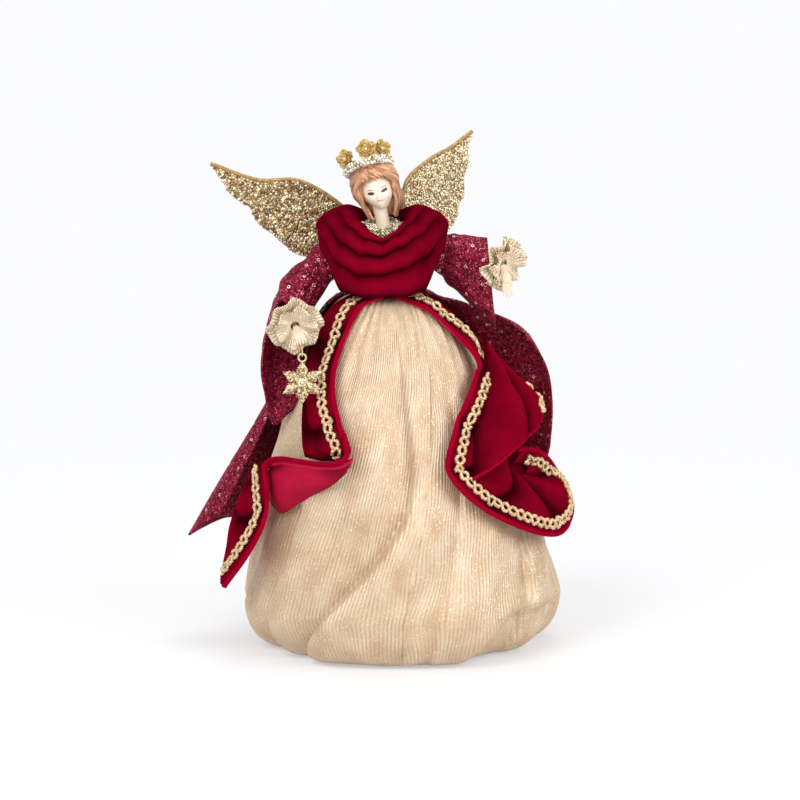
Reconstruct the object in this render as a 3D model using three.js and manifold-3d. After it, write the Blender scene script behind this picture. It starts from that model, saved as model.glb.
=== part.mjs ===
// A fairy tree topper: a doll in a gold crinkled skirt and a red velvet and sequin robe.
// It stands on a hollow card cone that takes the tree's leader.
// Millimetres, +Z up, the doll faces -Y. Left and right are the doll's own, so its right hand is at -X.
import * as THREE from "three";
import { mergeVertices } from "three/addons/utils/BufferGeometryUtils.js";
import Module from "manifold-3d";

const wasm = await Module();
wasm.setup();

// Driving sizes
const WAIST_HEIGHT = 206;
const WAIST_RADIUS = 17;
const HEM_RADIUS = 92;
const BULGE_HEIGHT = 28;
const SKIRT_SWELL = 0.55;
const SKIRT_LEAN = -11;
const CLOTH = 1.2;
const GAP = 0.4;
const BASE_RING_WIDTH = 11.6;
const BASE_RING_THICKNESS = 2;
const CONE_BASE_RADIUS = 48;
const CONE_TOP_RADIUS = 11;
const CONE_HEIGHT = 150;
const CONE_WALL = 1.6;
const PLUG_DEPTH = 18;
const ROD_RADIUS = 2.5;
const BODY_X = -12;
const TORSO_HALF_WIDTH = 16;
const TORSO_HALF_DEPTH = 11;
const TORSO_SEAT = 6;
const TORSO_LENGTH = 42;
const ARM_WIRE_RADIUS = 1.6;
const SHOULDER_BALL_RADIUS = 2.6;
const PIPING_RADIUS = 1.5;
const BRAID_WIDTH = 6.4;
const BRAID_THICKNESS = 0.8;
const BRAID_INSET = 3;
const BRAID_LIFT = 0.8;
const WING_THICKNESS = 1.2;
const SPAR_RADIUS = 1.3;
const HEAD_TILT = THREE.MathUtils.degToRad(-16);
const HEAD_RISE = 24;
const HEAD_SIZE = new THREE.Vector3(8.8, 9.6, 11.6);
const FLAKE_RADIUS = 12.5;
const FLAKE_THICKNESS = 1;

// Places that follow from them
const BASE_RING_INNER = CONE_BASE_RADIUS + GAP;
const BASE_RING_OUTER = BASE_RING_INNER + BASE_RING_WIDTH;
const TORSO_BOTTOM = WAIST_HEIGHT - TORSO_SEAT;
const TORSO_TOP = TORSO_BOTTOM + TORSO_LENGTH;
const HEAD_CENTRE = new THREE.Vector3(-15.7, -2, TORSO_TOP + HEAD_RISE);

const group = new THREE.Group();

const vector = (x, y, z) => new THREE.Vector3(x, y, z);
// A place on the upper body, with its height above the torso's top
const onBody = (x, y, rise) => vector(x, y, TORSO_TOP + rise);
const radians = (degrees) => THREE.MathUtils.degToRad(degrees);
const curveThrough = (points, closed = false) => new THREE.CatmullRomCurve3(points, closed, "centripetal");

function addPiece(name, geometry, color, roughness, metalness = 0) {
  const material = new THREE.MeshStandardMaterial({ color, roughness, metalness });
  const mesh = new THREE.Mesh(geometry, material);
  mesh.name = name;
  group.add(mesh);
  return mesh;
}

// Indexed geometry from points and corner triples, turned to face out.
function geometryFrom(points, triangles) {
  let volume = 0;
  for (const [a, b, c] of triangles) {
    volume += points[a].dot(new THREE.Vector3().crossVectors(points[b], points[c]));
  }
  const index = volume < 0 ? triangles.flatMap(([a, b, c]) => [a, c, b]) : triangles.flat();
  return new THREE.BufferGeometry().setFromPoints(points).setIndex(index);
}

// The unit normals of a grid of points, rows[i][j]; the rows of a ring wrap round.
function gridNormals(rows, ring) {
  const last = rows.length - 1;
  return rows.map((row, i) => {
    const before = rows[ring ? (i + last) % (last + 1) : Math.max(i - 1, 0)];
    const after = rows[ring ? (i + 1) % (last + 1) : Math.min(i + 1, last)];
    return row.map((_, j) => {
      const along = after[j].clone().sub(before[j]);
      const across = row[Math.min(j + 1, row.length - 1)].clone().sub(row[Math.max(j - 1, 0)]);
      return along.cross(across).normalize();
    });
  });
}

// A cloth about a grid of points, of one thickness or of a thickness for each column of the grid.
function clothGeometry(rows, thickness, ring = false) {
  const thicknessAt = (j) => (Array.isArray(thickness) ? thickness[j] : thickness);
  const normals = gridNormals(rows, ring);
  const width = rows[0].length;
  const count = rows.length;
  const points = [];
  for (const side of [0.5, -0.5]) {
    rows.forEach((row, i) =>
      row.forEach((point, j) => {
        const offset = side * thicknessAt(j);
        points.push(point.clone().addScaledVector(normals[i][j], offset));
      }),
    );
  }
  const outer = (i, j) => (i % count) * width + j;
  const inner = (i, j) => count * width + outer(i, j);
  const triangles = [];
  const quad = (a, b, c, d) => triangles.push([a, b, c], [a, c, d]);
  const spans = ring ? count : count - 1;
  for (let i = 0; i < spans; i++) {
    for (let j = 0; j < width - 1; j++) {
      quad(outer(i, j), outer(i + 1, j), outer(i + 1, j + 1), outer(i, j + 1));
      quad(inner(i, j), inner(i, j + 1), inner(i + 1, j + 1), inner(i + 1, j));
    }
    quad(outer(i, 0), inner(i, 0), inner(i + 1, 0), outer(i + 1, 0));
    const edge = width - 1;
    quad(outer(i, edge), outer(i + 1, edge), inner(i + 1, edge), inner(i, edge));
  }
  if (!ring) {
    const end = count - 1;
    for (let j = 0; j < width - 1; j++) {
      quad(outer(0, j), outer(0, j + 1), inner(0, j + 1), inner(0, j));
      quad(outer(end, j), inner(end, j), inner(end, j + 1), outer(end, j + 1));
    }
  }
  return geometryFrom(points, triangles);
}

// A solid through a stack of closed loops with the same number of points, capped at both ends.
function loftGeometry(loops) {
  const around = loops[0].length;
  const points = loops.flat();
  const triangles = [];
  for (let i = 0; i < loops.length - 1; i++) {
    for (let j = 0; j < around; j++) {
      const next = (j + 1) % around;
      const low = i * around;
      const high = low + around;
      triangles.push([low + j, low + next, high + next], [low + j, high + next, high + j]);
    }
  }
  const centre = (loop) => loop.reduce((sum, p) => sum.add(p), vector(0, 0, 0)).divideScalar(around);
  const top = (loops.length - 1) * around;
  points.push(centre(loops[0]), centre(loops[loops.length - 1]));
  for (let j = 0; j < around; j++) {
    const next = (j + 1) % around;
    triangles.push([points.length - 2, next, j], [points.length - 1, top + j, top + next]);
  }
  return geometryFrom(points, triangles);
}

function latheGeometry(profile, segments) {
  const points = profile.map(([r, z]) => new THREE.Vector2(r, z));
  return new THREE.LatheGeometry(points, segments).rotateX(Math.PI / 2);
}

function tubeGeometry(curve, radius, steps, curveSegments) {
  const circle = new THREE.Shape().absarc(0, 0, radius, 0, 2 * Math.PI);
  return new THREE.ExtrudeGeometry(circle, { steps, curveSegments, extrudePath: curve });
}

function ellipsoidGeometry(size, centre, across = 16, down = 11) {
  return new THREE.SphereGeometry(1, across, down)
    .rotateX(Math.PI / 2)
    .scale(size.x, size.y, size.z)
    .translate(centre.x, centre.y, centre.z);
}

function manifoldOf(geometry) {
  const bare = geometry.clone();
  bare.deleteAttribute("normal");
  bare.deleteAttribute("uv");
  const merged = mergeVertices(bare, 1e-3);
  return new wasm.Manifold(
    new wasm.Mesh({
      numProp: 3,
      vertProperties: merged.attributes.position.array,
      triVerts: new Uint32Array(merged.index.array),
    }),
  );
}

function geometryOf(manifold) {
  const mesh = manifold.getMesh();
  return new THREE.BufferGeometry()
    .setAttribute("position", new THREE.BufferAttribute(new Float32Array(mesh.vertProperties), 3))
    .setIndex(new THREE.BufferAttribute(new Uint32Array(mesh.triVerts), 1));
}

// Skirt: the radius at a height, and the folds that twist round it
const SKIRT_FOLDS = [
  { hemAngle: -50, twist: 62, depth: 5.0, width: 17 },
  { hemAngle: -80, twist: 58, depth: 4.0, width: 17 },
  { hemAngle: 12, twist: 44, depth: 2.6, width: 16 },
  { hemAngle: 50, twist: 34, depth: 4.2, width: 17 },
  { hemAngle: 88, twist: 34, depth: 3.4, width: 17 },
  { hemAngle: 124, twist: 40, depth: 4.0, width: 17 },
  { hemAngle: 160, twist: 40, depth: 3.6, width: 17 },
  { hemAngle: 198, twist: 40, depth: 4.2, width: 17 },
  { hemAngle: 238, twist: 46, depth: 3.6, width: 17 },
];
const ARCH_ANGLE = 46;
const ARCH_WIDTH = 17;
const ARCH_LIFT = 12;

function skirtRadius(z) {
  const drop = THREE.MathUtils.clamp((WAIST_HEIGHT - z) / (WAIST_HEIGHT - BULGE_HEIGHT), 0, 1);
  return WAIST_RADIUS + (HEM_RADIUS - WAIST_RADIUS) * drop ** SKIRT_SWELL;
}

const skirtAxis = (z) => (SKIRT_LEAN * z) / WAIST_HEIGHT;

function angleBetween(a, b) {
  return ((((a - b) % 360) + 540) % 360) - 180;
}

// Each fold is a valley with a crest on the side that overlaps it.
function foldDepth(angle, z) {
  const rise = THREE.MathUtils.clamp(z / WAIST_HEIGHT, 0, 1);
  const strength = Math.sin(Math.PI * Math.min(1, 0.22 + 0.78 * (1 - rise)) * 0.5) * (1 - rise ** 4);
  return SKIRT_FOLDS.reduce((sum, fold) => {
    const offset = angleBetween(angle, fold.hemAngle + fold.twist * rise) / fold.width;
    const valley = Math.exp(-((offset + 0.5) ** 2) * 2.2);
    const crest = Math.exp(-((offset - 0.5) ** 2) * 2.2);
    return sum + fold.depth * strength * (0.6 * crest - 0.7 * valley);
  }, 0);
}

// A place off the skirt: angle from the front towards +X, share of the waist height and distance off it
function offSkirt(angle, share, standoff) {
  const z = share * WAIST_HEIGHT;
  const reach = skirtRadius(z) + standoff;
  return vector(
    skirtAxis(z) + reach * Math.sin(radians(angle)),
    -reach * Math.cos(radians(angle)),
    z,
  );
}

// Card cone that takes the tree's leader, with its base ring, plug and rod
const coneAt = (z) => CONE_BASE_RADIUS + ((CONE_TOP_RADIUS - CONE_BASE_RADIUS) * z) / CONE_HEIGHT;
addPiece(
  "base_ring",
  latheGeometry(
    [
      [BASE_RING_INNER, 0],
      [BASE_RING_OUTER, 0],
      [BASE_RING_OUTER, BASE_RING_THICKNESS],
      [BASE_RING_INNER, BASE_RING_THICKNESS],
      [BASE_RING_INNER, 0],
    ],
    32,
  ),
  0xc9b48a,
  0.85,
);
addPiece(
  "card_cone",
  latheGeometry(
    [
      [CONE_BASE_RADIUS - CONE_WALL, GAP],
      [CONE_BASE_RADIUS, GAP],
      [CONE_TOP_RADIUS, CONE_HEIGHT],
      [CONE_TOP_RADIUS - CONE_WALL, CONE_HEIGHT],
      [CONE_BASE_RADIUS - CONE_WALL, GAP],
    ],
    32,
  ),
  0xc9b48a,
  0.85,
);
const plugBottom = CONE_HEIGHT - PLUG_DEPTH;
const plugFit = CONE_WALL + GAP + 0.3;
const socketBottom = CONE_HEIGHT - PLUG_DEPTH * 0.7;
addPiece(
  "cone_plug",
  latheGeometry(
    [
      [0, plugBottom],
      [coneAt(plugBottom) - plugFit, plugBottom],
      [CONE_TOP_RADIUS - plugFit, CONE_HEIGHT],
      [ROD_RADIUS + GAP, CONE_HEIGHT],
      [ROD_RADIUS + GAP, socketBottom],
      [0, socketBottom],
    ],
    24,
  ),
  0xcaa97a,
  0.7,
);
const rodCurve = curveThrough([
  vector(0, 0, socketBottom + GAP),
  vector(0, 0, CONE_HEIGHT - 3),
  vector(0, 0, CONE_HEIGHT + 5),
  vector(BODY_X, 0, TORSO_BOTTOM - 6),
  vector(BODY_X, 0, TORSO_BOTTOM + 4),
  vector(BODY_X, 0, TORSO_TOP - 12),
]);
addPiece("armature_rod", tubeGeometry(rodCurve, ROD_RADIUS, 18, 4), 0xa8a8a4, 0.35, 0.9);

// Skirt with its rolled hem, and the wadding that fills it out
const SKIRT_COLUMNS = 44;
const SKIRT_DROPS = [0, 0.03, 0.1, 0.2, 0.34, 0.5, 0.68, 0.85, 1];
const HEM_ROLL = 20;
const HEM_TURNS = [35, 65, 90];

function hemLift(angle) {
  return ARCH_LIFT * Math.exp(-((angleBetween(angle, ARCH_ANGLE) / ARCH_WIDTH) ** 2));
}

function skirtColumn(angle) {
  const place = (radius, z) => {
    const reach = radius + foldDepth(angle, z);
    return vector(skirtAxis(z) + reach * Math.sin(radians(angle)), -reach * Math.cos(radians(angle)), z);
  };
  const lift = hemLift(angle);
  const bulge = BULGE_HEIGHT + 0.6 * lift;
  const wall = SKIRT_DROPS.map((drop) => {
    const z = WAIST_HEIGHT - drop * (WAIST_HEIGHT - bulge);
    return place(skirtRadius(z), z);
  });
  const hemBottom = CLOTH / 2 + GAP + lift;
  const roll = HEM_TURNS.map((turn) =>
    place(
      HEM_RADIUS - HEM_ROLL * (1 - Math.cos(radians(turn))),
      bulge - (bulge - hemBottom) * Math.sin(radians(turn)),
    ),
  );
  const tuckRadius = BASE_RING_OUTER + GAP + CLOTH / 2;
  const tuckHeight = BASE_RING_THICKNESS + 1 + lift / 3;
  const turn = radians(angle);
  const tuck = vector(tuckRadius * Math.sin(turn), -tuckRadius * Math.cos(turn), tuckHeight);
  return [...wall, ...roll, tuck];
}
const skirtRows = Array.from({ length: SKIRT_COLUMNS }, (_, i) => skirtColumn((360 * i) / SKIRT_COLUMNS));
addPiece("skirt", clothGeometry(skirtRows, CLOTH, true), 0xd8bd86, 0.45, 0.35);

// Wadding rings as share of the waist height and inset from the skirt
const WADDING_RINGS = [
  [0.05, 36],
  [0.17, 14],
  [0.4, 9],
  [0.6, 9],
  [0.7, 9],
];
const WADDING_AROUND = 32;
const WADDING_CONE_GAP = GAP + 0.2;
function ringAbout(centre, reach, z) {
  return Array.from({ length: WADDING_AROUND }, (_, i) => {
    const turn = (2 * Math.PI * i) / WADDING_AROUND;
    return vector(centre + reach * Math.sin(turn), -reach * Math.cos(turn), z);
  });
}
const waddingBottom = WADDING_RINGS[0][0] * WAIST_HEIGHT;
const waddingTop = Math.min(WADDING_RINGS[WADDING_RINGS.length - 1][0] * WAIST_HEIGHT, CONE_HEIGHT);
const waddingColumns = [
  ...WADDING_RINGS.map(([share, inset]) => {
    const z = Math.min(share * WAIST_HEIGHT, waddingTop);
    return ringAbout(skirtAxis(z), skirtRadius(z) - inset, z);
  }),
  ringAbout(0, coneAt(waddingTop) + WADDING_CONE_GAP, waddingTop),
  ringAbout(0, coneAt(waddingBottom) + WADDING_CONE_GAP, waddingBottom),
];
function ringStackGeometry(rings) {
  const around = rings[0].length;
  const triangles = [];
  rings.forEach((_, i) => {
    const low = i * around;
    const high = ((i + 1) % rings.length) * around;
    for (let j = 0; j < around; j++) {
      const next = (j + 1) % around;
      triangles.push([low + j, low + next, high + next], [low + j, high + next, high + j]);
    }
  });
  return geometryFrom(rings.flat(), triangles);
}
addPiece("skirt_wadding", ringStackGeometry(waddingColumns), 0xf0ede4, 0.95);

// Torso
const torsoShape = latheGeometry(
  [
    [0, 0],
    [0.82, 0],
    [0.86, 0.25],
    [0.98, 0.6],
    [1, 0.82],
    [0.8, 0.96],
    [0.45, 1],
    [0, 1],
  ],
  24,
)
  .scale(TORSO_HALF_WIDTH, TORSO_HALF_DEPTH, TORSO_TOP - TORSO_BOTTOM)
  .translate(BODY_X, 0, TORSO_BOTTOM);
const rodBore = tubeGeometry(
  curveThrough([vector(BODY_X, 0, TORSO_BOTTOM - 5), vector(BODY_X, 0, TORSO_TOP - 12 + GAP)]),
  ROD_RADIUS + GAP + 0.3,
  2,
  6,
);
addPiece("torso", geometryOf(manifoldOf(torsoShape).subtract(manifoldOf(rodBore))), 0x4a2a30, 0.7);

// Head, hair, crown and neck trim
function placedOnHead(geometry) {
  return geometry.rotateY(HEAD_TILT).translate(HEAD_CENTRE.x, HEAD_CENTRE.y, HEAD_CENTRE.z);
}
const NECK_RADIUS = 4.6;
function headManifold(grow) {
  const skull = placedOnHead(ellipsoidGeometry(HEAD_SIZE.clone().addScalar(grow), vector(0, 0, 0)));
  const neckCurve = curveThrough([
    vector(BODY_X, 0, TORSO_TOP + 3 * GAP - grow),
    vector(HEAD_CENTRE.x, HEAD_CENTRE.y, HEAD_CENTRE.z - 4),
  ]);
  return manifoldOf(skull).add(manifoldOf(tubeGeometry(neckCurve, NECK_RADIUS + grow, 2, 6)));
}
addPiece("head", geometryOf(headManifold(0)), 0xf0d9c4, 0.4);

const hairMass = placedOnHead(ellipsoidGeometry(vector(12.3, 11, 13.4), vector(-0.8, 1, 4.6), 14, 9));
const hairFringe = placedOnHead(ellipsoidGeometry(vector(9.5, 6.5, 6.8), vector(-1, -4.5, 10), 14, 8));
const hairFall = placedOnHead(ellipsoidGeometry(vector(13.4, 7.6, 10.5), vector(1.6, 6, -7), 12, 8));
const faceWindow = placedOnHead(ellipsoidGeometry(vector(8.2, 12, 11.4), vector(0.8, -9.5, -2.6), 14, 8));
const hair = manifoldOf(hairMass)
  .add(manifoldOf(hairFall))
  .add(manifoldOf(hairFringe))
  .subtract(headManifold(GAP))
  .subtract(manifoldOf(faceWindow));
addPiece("hair", geometryOf(hair), 0xb5703f, 0.6);

const CROWN_RADIUS = 13;
const CROWN_TUBE = 2;
const CROWN_CENTRE = vector(-1.6, 2, 14.2);
const CROWN_TILT = radians(-24);
// The crown's own frame leans back from the head's, with its front raised.
function placedOnCrown(geometry) {
  return placedOnHead(geometry.rotateX(CROWN_TILT).translate(CROWN_CENTRE.x, CROWN_CENTRE.y, CROWN_CENTRE.z));
}
addPiece(
  "crown_band",
  placedOnCrown(new THREE.TorusGeometry(CROWN_RADIUS, CROWN_TUBE, 6, 26)),
  0xd9c078,
  0.3,
  0.7,
);
const FLORETS = [
  { angle: -58, size: 5 },
  { angle: 9, size: 5.4 },
  { angle: 54, size: 4.8 },
];
const FLORET_FOOT = Math.cos(Math.PI / 5);
const FLORET_DEPTH = 1.8;
function floretGeometry(size) {
  const shape = new THREE.Shape();
  const outline = Array.from({ length: 25 }, (_, i) => {
    const turn = (2 * Math.PI * i) / 25;
    const reach = size * (0.72 + 0.28 * Math.cos(5 * turn));
    return new THREE.Vector2(reach * Math.sin(turn), reach * Math.cos(turn));
  });
  shape.setFromPoints(outline);
  return new THREE.ExtrudeGeometry(shape, { depth: FLORET_DEPTH, bevelEnabled: false })
    .rotateX(Math.PI / 2)
    .translate(0, FLORET_DEPTH / 2, 0);
}
// Each floret stands on the band on its two lower petals.
FLORETS.forEach(({ angle, size }, i) => {
  const geometry = floretGeometry(size)
    .translate(0, -CROWN_RADIUS, CROWN_TUBE + GAP + FLORET_FOOT * size)
    .rotateZ(radians(angle));
  addPiece(`crown_floret_${i + 1}`, placedOnCrown(geometry), 0xd8a83a, 0.35, 0.6);
});
addPiece(
  "neck_trim",
  new THREE.TorusGeometry(9.4, 1.8, 6, 20).rotateX(radians(16)).translate(BODY_X - 1, -0.8, TORSO_TOP + 3),
  0xb9a24c,
  0.35,
  0.6,
);

// Cowl: sections from the inner rim over the roll to the hem, as reach and height, at angles from the front
const COWL_SECTIONS = [
  { angle: 0, profile: [[12.1, -8], [17.5, -2.5], [25, -9], [31, -20], [28, -31]] },
  { angle: 22, profile: [[13, -5], [18.5, 1], [27, -5], [33, -18], [31, -31]] },
  { angle: 42, profile: [[14, 0], [19.5, 7], [29.5, 2], [36, -11], [34.5, -29.4]] },
  { angle: 64, profile: [[14, 5], [20.3, 13], [31, 9.5], [38.5, 1], [38.5, -9.5]] },
  { angle: 78, profile: [[14, 6], [20.5, 14.5], [31, 11], [38, 4.5], [36.5, 0.5]] },
  { angle: 100, profile: [[14, 5.5], [19, 14], [28, 12], [34.5, 8], [33, 5.2]] },
  { angle: 140, profile: [[13, 4.5], [15.2, 10], [17.6, 10], [19.6, 7], [19, 3.6]] },
  { angle: 180, profile: [[12, 3.2], [12.9, 7.5], [14.6, 9], [16.2, 7.4], [16.1, 3.6]] },
];
const COWL_FOLDS = 3.5;
const COWL_FOLD_DEPTH = 1.9;
const COWL_COLUMNS = 36;
const COWL_ROWS = 14;
const COWL_SHIFT = -1;
function cowlColumn(angle) {
  const turn = Math.abs(angleBetween(angle, 0));
  const after = Math.max(1, COWL_SECTIONS.findIndex((section) => section.angle >= turn));
  const low = COWL_SECTIONS[after - 1];
  const high = COWL_SECTIONS[after];
  const mix = THREE.MathUtils.smoothstep(turn, low.angle, high.angle);
  const profile = low.profile.map(([r, z], k) => {
    const reach = THREE.MathUtils.lerp(r, high.profile[k][0], mix);
    const height = TORSO_TOP + THREE.MathUtils.lerp(z, high.profile[k][1], mix);
    return vector(
      BODY_X + COWL_SHIFT + reach * Math.sin(radians(angle)),
      -reach * Math.cos(radians(angle)),
      height,
    );
  });
  const section = curveThrough(profile);
  const front = Math.exp(-((turn / 62) ** 2));
  return Array.from({ length: COWL_ROWS }, (_, k) => {
    const along = k / (COWL_ROWS - 1);
    const wave = Math.sin(2 * Math.PI * COWL_FOLDS * along) * Math.sin(Math.PI * along);
    const ripple = COWL_FOLD_DEPTH * front * wave;
    const outward = vector(Math.sin(radians(angle)), -Math.cos(radians(angle)), 0.5).normalize();
    return section.getPoint(along).addScaledVector(outward, ripple);
  });
}
const cowlRows = Array.from({ length: COWL_COLUMNS }, (_, i) => cowlColumn((360 * i) / COWL_COLUMNS));
addPiece("cowl", clothGeometry(cowlRows, 1.6, true), 0x8a0f1c, 0.9);

// Velvet panels: the free edge and the seam of each, as angle, share of the waist height and stand-off.
// A panel ends where the velvet twists or folds over itself. Braid runs from one row of the panel to another.
const VELVETS = [
  {
    name: "right_facing",
    outside: 1,
    wired: true,
    bulge: 0.08,
    edge: [
      [-2, 1.005, 4], [-24, 0.985, 6], [-31, 0.893, 8], [-31, 0.791, 10], [-24, 0.689, 12], [-18, 0.61, 13],
      [-22, 0.58, 11],
    ],
    seam: [
      [-66, 1.005, 3], [-72, 0.966, 3.5], [-70, 0.864, 4], [-58, 0.767, 4], [-53, 0.68, 4], [-48, 0.605, 4],
      [-45, 0.575, 4],
    ],
    braids: [{ name: "right_braid_1", rows: [0, 17] }],
  },
  {
    name: "right_flap",
    outside: -1,
    wired: true,
    bulge: 0.1,
    edge: [
      [-16, 0.6, 16], [-21, 0.58, 17.5], [-28, 0.575, 18], [-38, 0.576, 18], [-48, 0.574, 18],
      [-55, 0.562, 18.5],
    ],
    seam: [
      [-20, 0.555, 10], [-28, 0.512, 6], [-38, 0.478, 3], [-46, 0.448, 2.6], [-55, 0.413, 3.6],
      [-61, 0.43, 5.5],
    ],
    braids: [],
  },
  {
    name: "right_tail",
    outside: 1,
    wired: true,
    bulge: 0.1,
    edge: [
      [-56, 0.556, 21], [-53, 0.517, 20], [-51, 0.466, 19], [-51, 0.391, 19.5], [-56, 0.298, 21],
      [-64, 0.201, 24],
    ],
    seam: [
      [-72, 0.535, 13], [-77, 0.47, 14.5], [-80, 0.41, 16], [-81, 0.345, 17.5], [-75, 0.28, 19],
      [-69.5, 0.226, 23],
    ],
    braids: [{ name: "right_braid_2", rows: [1, 14] }],
  },
  {
    name: "left_facing",
    outside: -1,
    wired: true,
    bulge: 0.06,
    edge: [
      [12, 1.005, 4], [43, 0.966, 6], [58, 0.879, 8], [60, 0.825, 10], [45, 0.772, 12], [30, 0.675, 11],
      [22, 0.56, 10], [29, 0.479, 10], [48, 0.385, 12], [70, 0.336, 17], [86, 0.385, 23], [88, 0.475, 22.5],
      [77, 0.562, 20],
    ],
    seam: [
      [66, 1.01, 3], [74, 0.985, 4], [78, 0.93, 6], [77, 0.835, 8], [72, 0.75, 8], [68, 0.68, 8],
      [63, 0.625, 8], [58.5, 0.59, 8], [57.5, 0.555, 8], [59.5, 0.525, 8.5], [63.5, 0.51, 9],
      [67.5, 0.515, 10], [70, 0.535, 11],
    ],
    braids: [
      { name: "left_braid_1", rows: [0, 6] },
      { name: "left_braid_2", rows: [13, 32] },
    ],
  },
  {
    name: "left_fold",
    outside: -1,
    wired: false,
    bulge: 0.11,
    edge: [
      [32, 0.525, 12.9], [41, 0.56, 19.5], [50, 0.6, 24.5], [58, 0.626, 27], [66, 0.645, 28], [76, 0.674, 28],
      [81, 0.704, 26], [79, 0.74, 24.5],
    ],
    seam: [
      [70, 0.9, 14], [71, 0.88, 15.5], [72, 0.86, 17], [73, 0.84, 18], [73.5, 0.82, 19], [72.5, 0.793, 20],
      [71.5, 0.765, 21], [73, 0.742, 21],
    ],
    braids: [{ name: "left_braid_3", rows: [14, 18] }],
  },
];
const FACING_STEPS = 3;
const FACING_COLUMNS = 5;
const LEAST_SLANT = 0.5;

// Rows across a panel from its seam to its free edge; the bulge, a share of a row's length, rounds the lobes.
function facingRows(edgePlaces, seamPlaces, bulge) {
  const edge = curveThrough(edgePlaces.map((place) => offSkirt(...place)));
  const seam = curveThrough(seamPlaces.map((place) => offSkirt(...place)));
  const count = (edgePlaces.length - 1) * FACING_STEPS;
  return Array.from({ length: count + 1 }, (_, i) => {
    const from = seam.getPoint(i / count);
    const to = edge.getPoint(i / count);
    const outward = vector(from.x + to.x, from.y + to.y, 0).normalize();
    const across = to.clone().sub(from).normalize();
    const slant = Math.max(edge.getTangent(i / count).cross(across).length(), LEAST_SLANT);
    return { from, to, outward, slant, bulge };
  });
}
function facingPoint({ from, to, outward, bulge }, share) {
  return from
    .clone()
    .lerp(to, share)
    .addScaledVector(outward, bulge * from.distanceTo(to) * Math.sin(Math.PI * share));
}
// The share of a row that ends a distance in from the free edge, measured square to the edge.
function shareBefore(row, distance) {
  return 1 - distance / (row.slant * row.from.distanceTo(row.to));
}
// The last two columns of a wired panel thicken into the edge that is rolled over its wire.
function facingGrid(rows) {
  return rows.map((row) => {
    const flatEnd = shareBefore(row, 2 * PIPING_RADIUS);
    const flat = Array.from({ length: FACING_COLUMNS }, (_, j) =>
      facingPoint(row, (flatEnd * j) / (FACING_COLUMNS - 1)),
    );
    return [...flat, facingPoint(row, shareBefore(row, PIPING_RADIUS)), facingPoint(row, 1)];
  });
}
function braidGrid(rows, side) {
  const near = PIPING_RADIUS + BRAID_INSET;
  const grid = rows.map((row) =>
    [1, 0.5, 0].map((share) => facingPoint(row, shareBefore(row, near + share * BRAID_WIDTH))),
  );
  const normals = gridNormals(grid, false);
  const lift = side * (CLOTH / 2 + BRAID_LIFT + BRAID_THICKNESS / 2);
  return grid.map((row, i) => row.map((point, j) => point.clone().addScaledVector(normals[i][j], lift)));
}
const WIRED_EDGE = [2 * PIPING_RADIUS, PIPING_RADIUS];
for (const { name, outside, wired, bulge, edge, seam, braids } of VELVETS) {
  const rows = facingRows(edge, seam, bulge);
  const thickness = [...Array(FACING_COLUMNS).fill(CLOTH), ...(wired ? WIRED_EDGE : [CLOTH, CLOTH])];
  addPiece(name, clothGeometry(facingGrid(rows), thickness), 0x8a0f1c, 0.9);
  for (const braid of braids) {
    const run = rows.slice(braid.rows[0], braid.rows[1] + 1);
    addPiece(braid.name, clothGeometry(braidGrid(run, outside), BRAID_THICKNESS), 0xd2ad55, 0.35, 0.7);
  }
}

// Sequin robe round the back: each column is an angle and the places down it.
// A place is a share of the waist height and a stand-off.
const ROBE_COLUMNS = [
  { angle: -88, places: [[1, 5], [0.97, 5], [0.922, 4], [0.8, 4], [0.68, 8], [0.534, 14], [0.379, 22]] },
  { angle: -97, places: [[1, 5], [0.97, 5], [0.922, 5], [0.8, 8], [0.655, 14], [0.485, 26], [0.291, 40]] },
  {
    angle: -112,
    places: [[1, 5], [0.97, 5], [0.913, 6], [0.786, 10], [0.631, 14], [0.476, 20], [0.32, 26]],
  },
  {
    angle: -131,
    places: [[1, 5], [0.97, 5], [0.903, 5], [0.767, 8], [0.602, 10], [0.427, 14], [0.252, 17]],
  },
  {
    angle: -151,
    places: [[1, 5], [0.97, 5], [0.903, 6], [0.757, 9], [0.592, 13], [0.417, 17], [0.243, 21]],
  },
  {
    angle: -171,
    places: [[1, 5], [0.97, 5], [0.903, 4], [0.757, 6], [0.583, 8], [0.408, 11], [0.223, 14]],
  },
  {
    angle: -190,
    places: [[1, 5], [0.97, 5], [0.903, 6], [0.757, 9], [0.583, 13], [0.408, 16], [0.223, 20]],
  },
  {
    angle: -210,
    places: [[1, 5], [0.97, 5], [0.903, 5], [0.757, 7], [0.592, 9], [0.417, 11], [0.243, 14]],
  },
  {
    angle: -230,
    places: [[1, 5], [0.97, 5], [0.913, 8], [0.777, 12], [0.621, 16], [0.456, 19], [0.301, 22]],
  },
  {
    angle: -247,
    places: [[1, 5], [0.98, 6], [0.932, 12], [0.835, 22], [0.709, 22], [0.563, 18], [0.408, 14]],
  },
  {
    angle: -258,
    places: [[1, 5], [0.98, 6], [0.951, 18], [0.893, 36], [0.786, 38], [0.66, 31], [0.524, 20]],
  },
  {
    angle: -264,
    places: [[1, 5], [0.98, 6], [0.956, 17], [0.903, 34], [0.796, 39], [0.68, 33], [0.558, 22]],
  },
];
const ROBE_STEPS = 3;
const ROBE_ROWS = 9;
const robeLines = ROBE_COLUMNS.map(({ angle, places }) => {
  const line = new THREE.SplineCurve(places.map(([share, standoff]) => new THREE.Vector2(share, standoff)));
  return line.getPoints(ROBE_ROWS - 1).map(({ x, y }) => offSkirt(angle, x, y));
});
const robeSpans = (ROBE_COLUMNS.length - 1) * ROBE_STEPS;
const robeCurves = Array.from({ length: ROBE_ROWS }, (_, j) =>
  curveThrough(robeLines.map((line) => line[j])),
);
const robeRows = Array.from({ length: robeSpans + 1 }, (_, i) =>
  robeCurves.map((curve) => curve.getPoint(i / robeSpans)),
);
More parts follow.
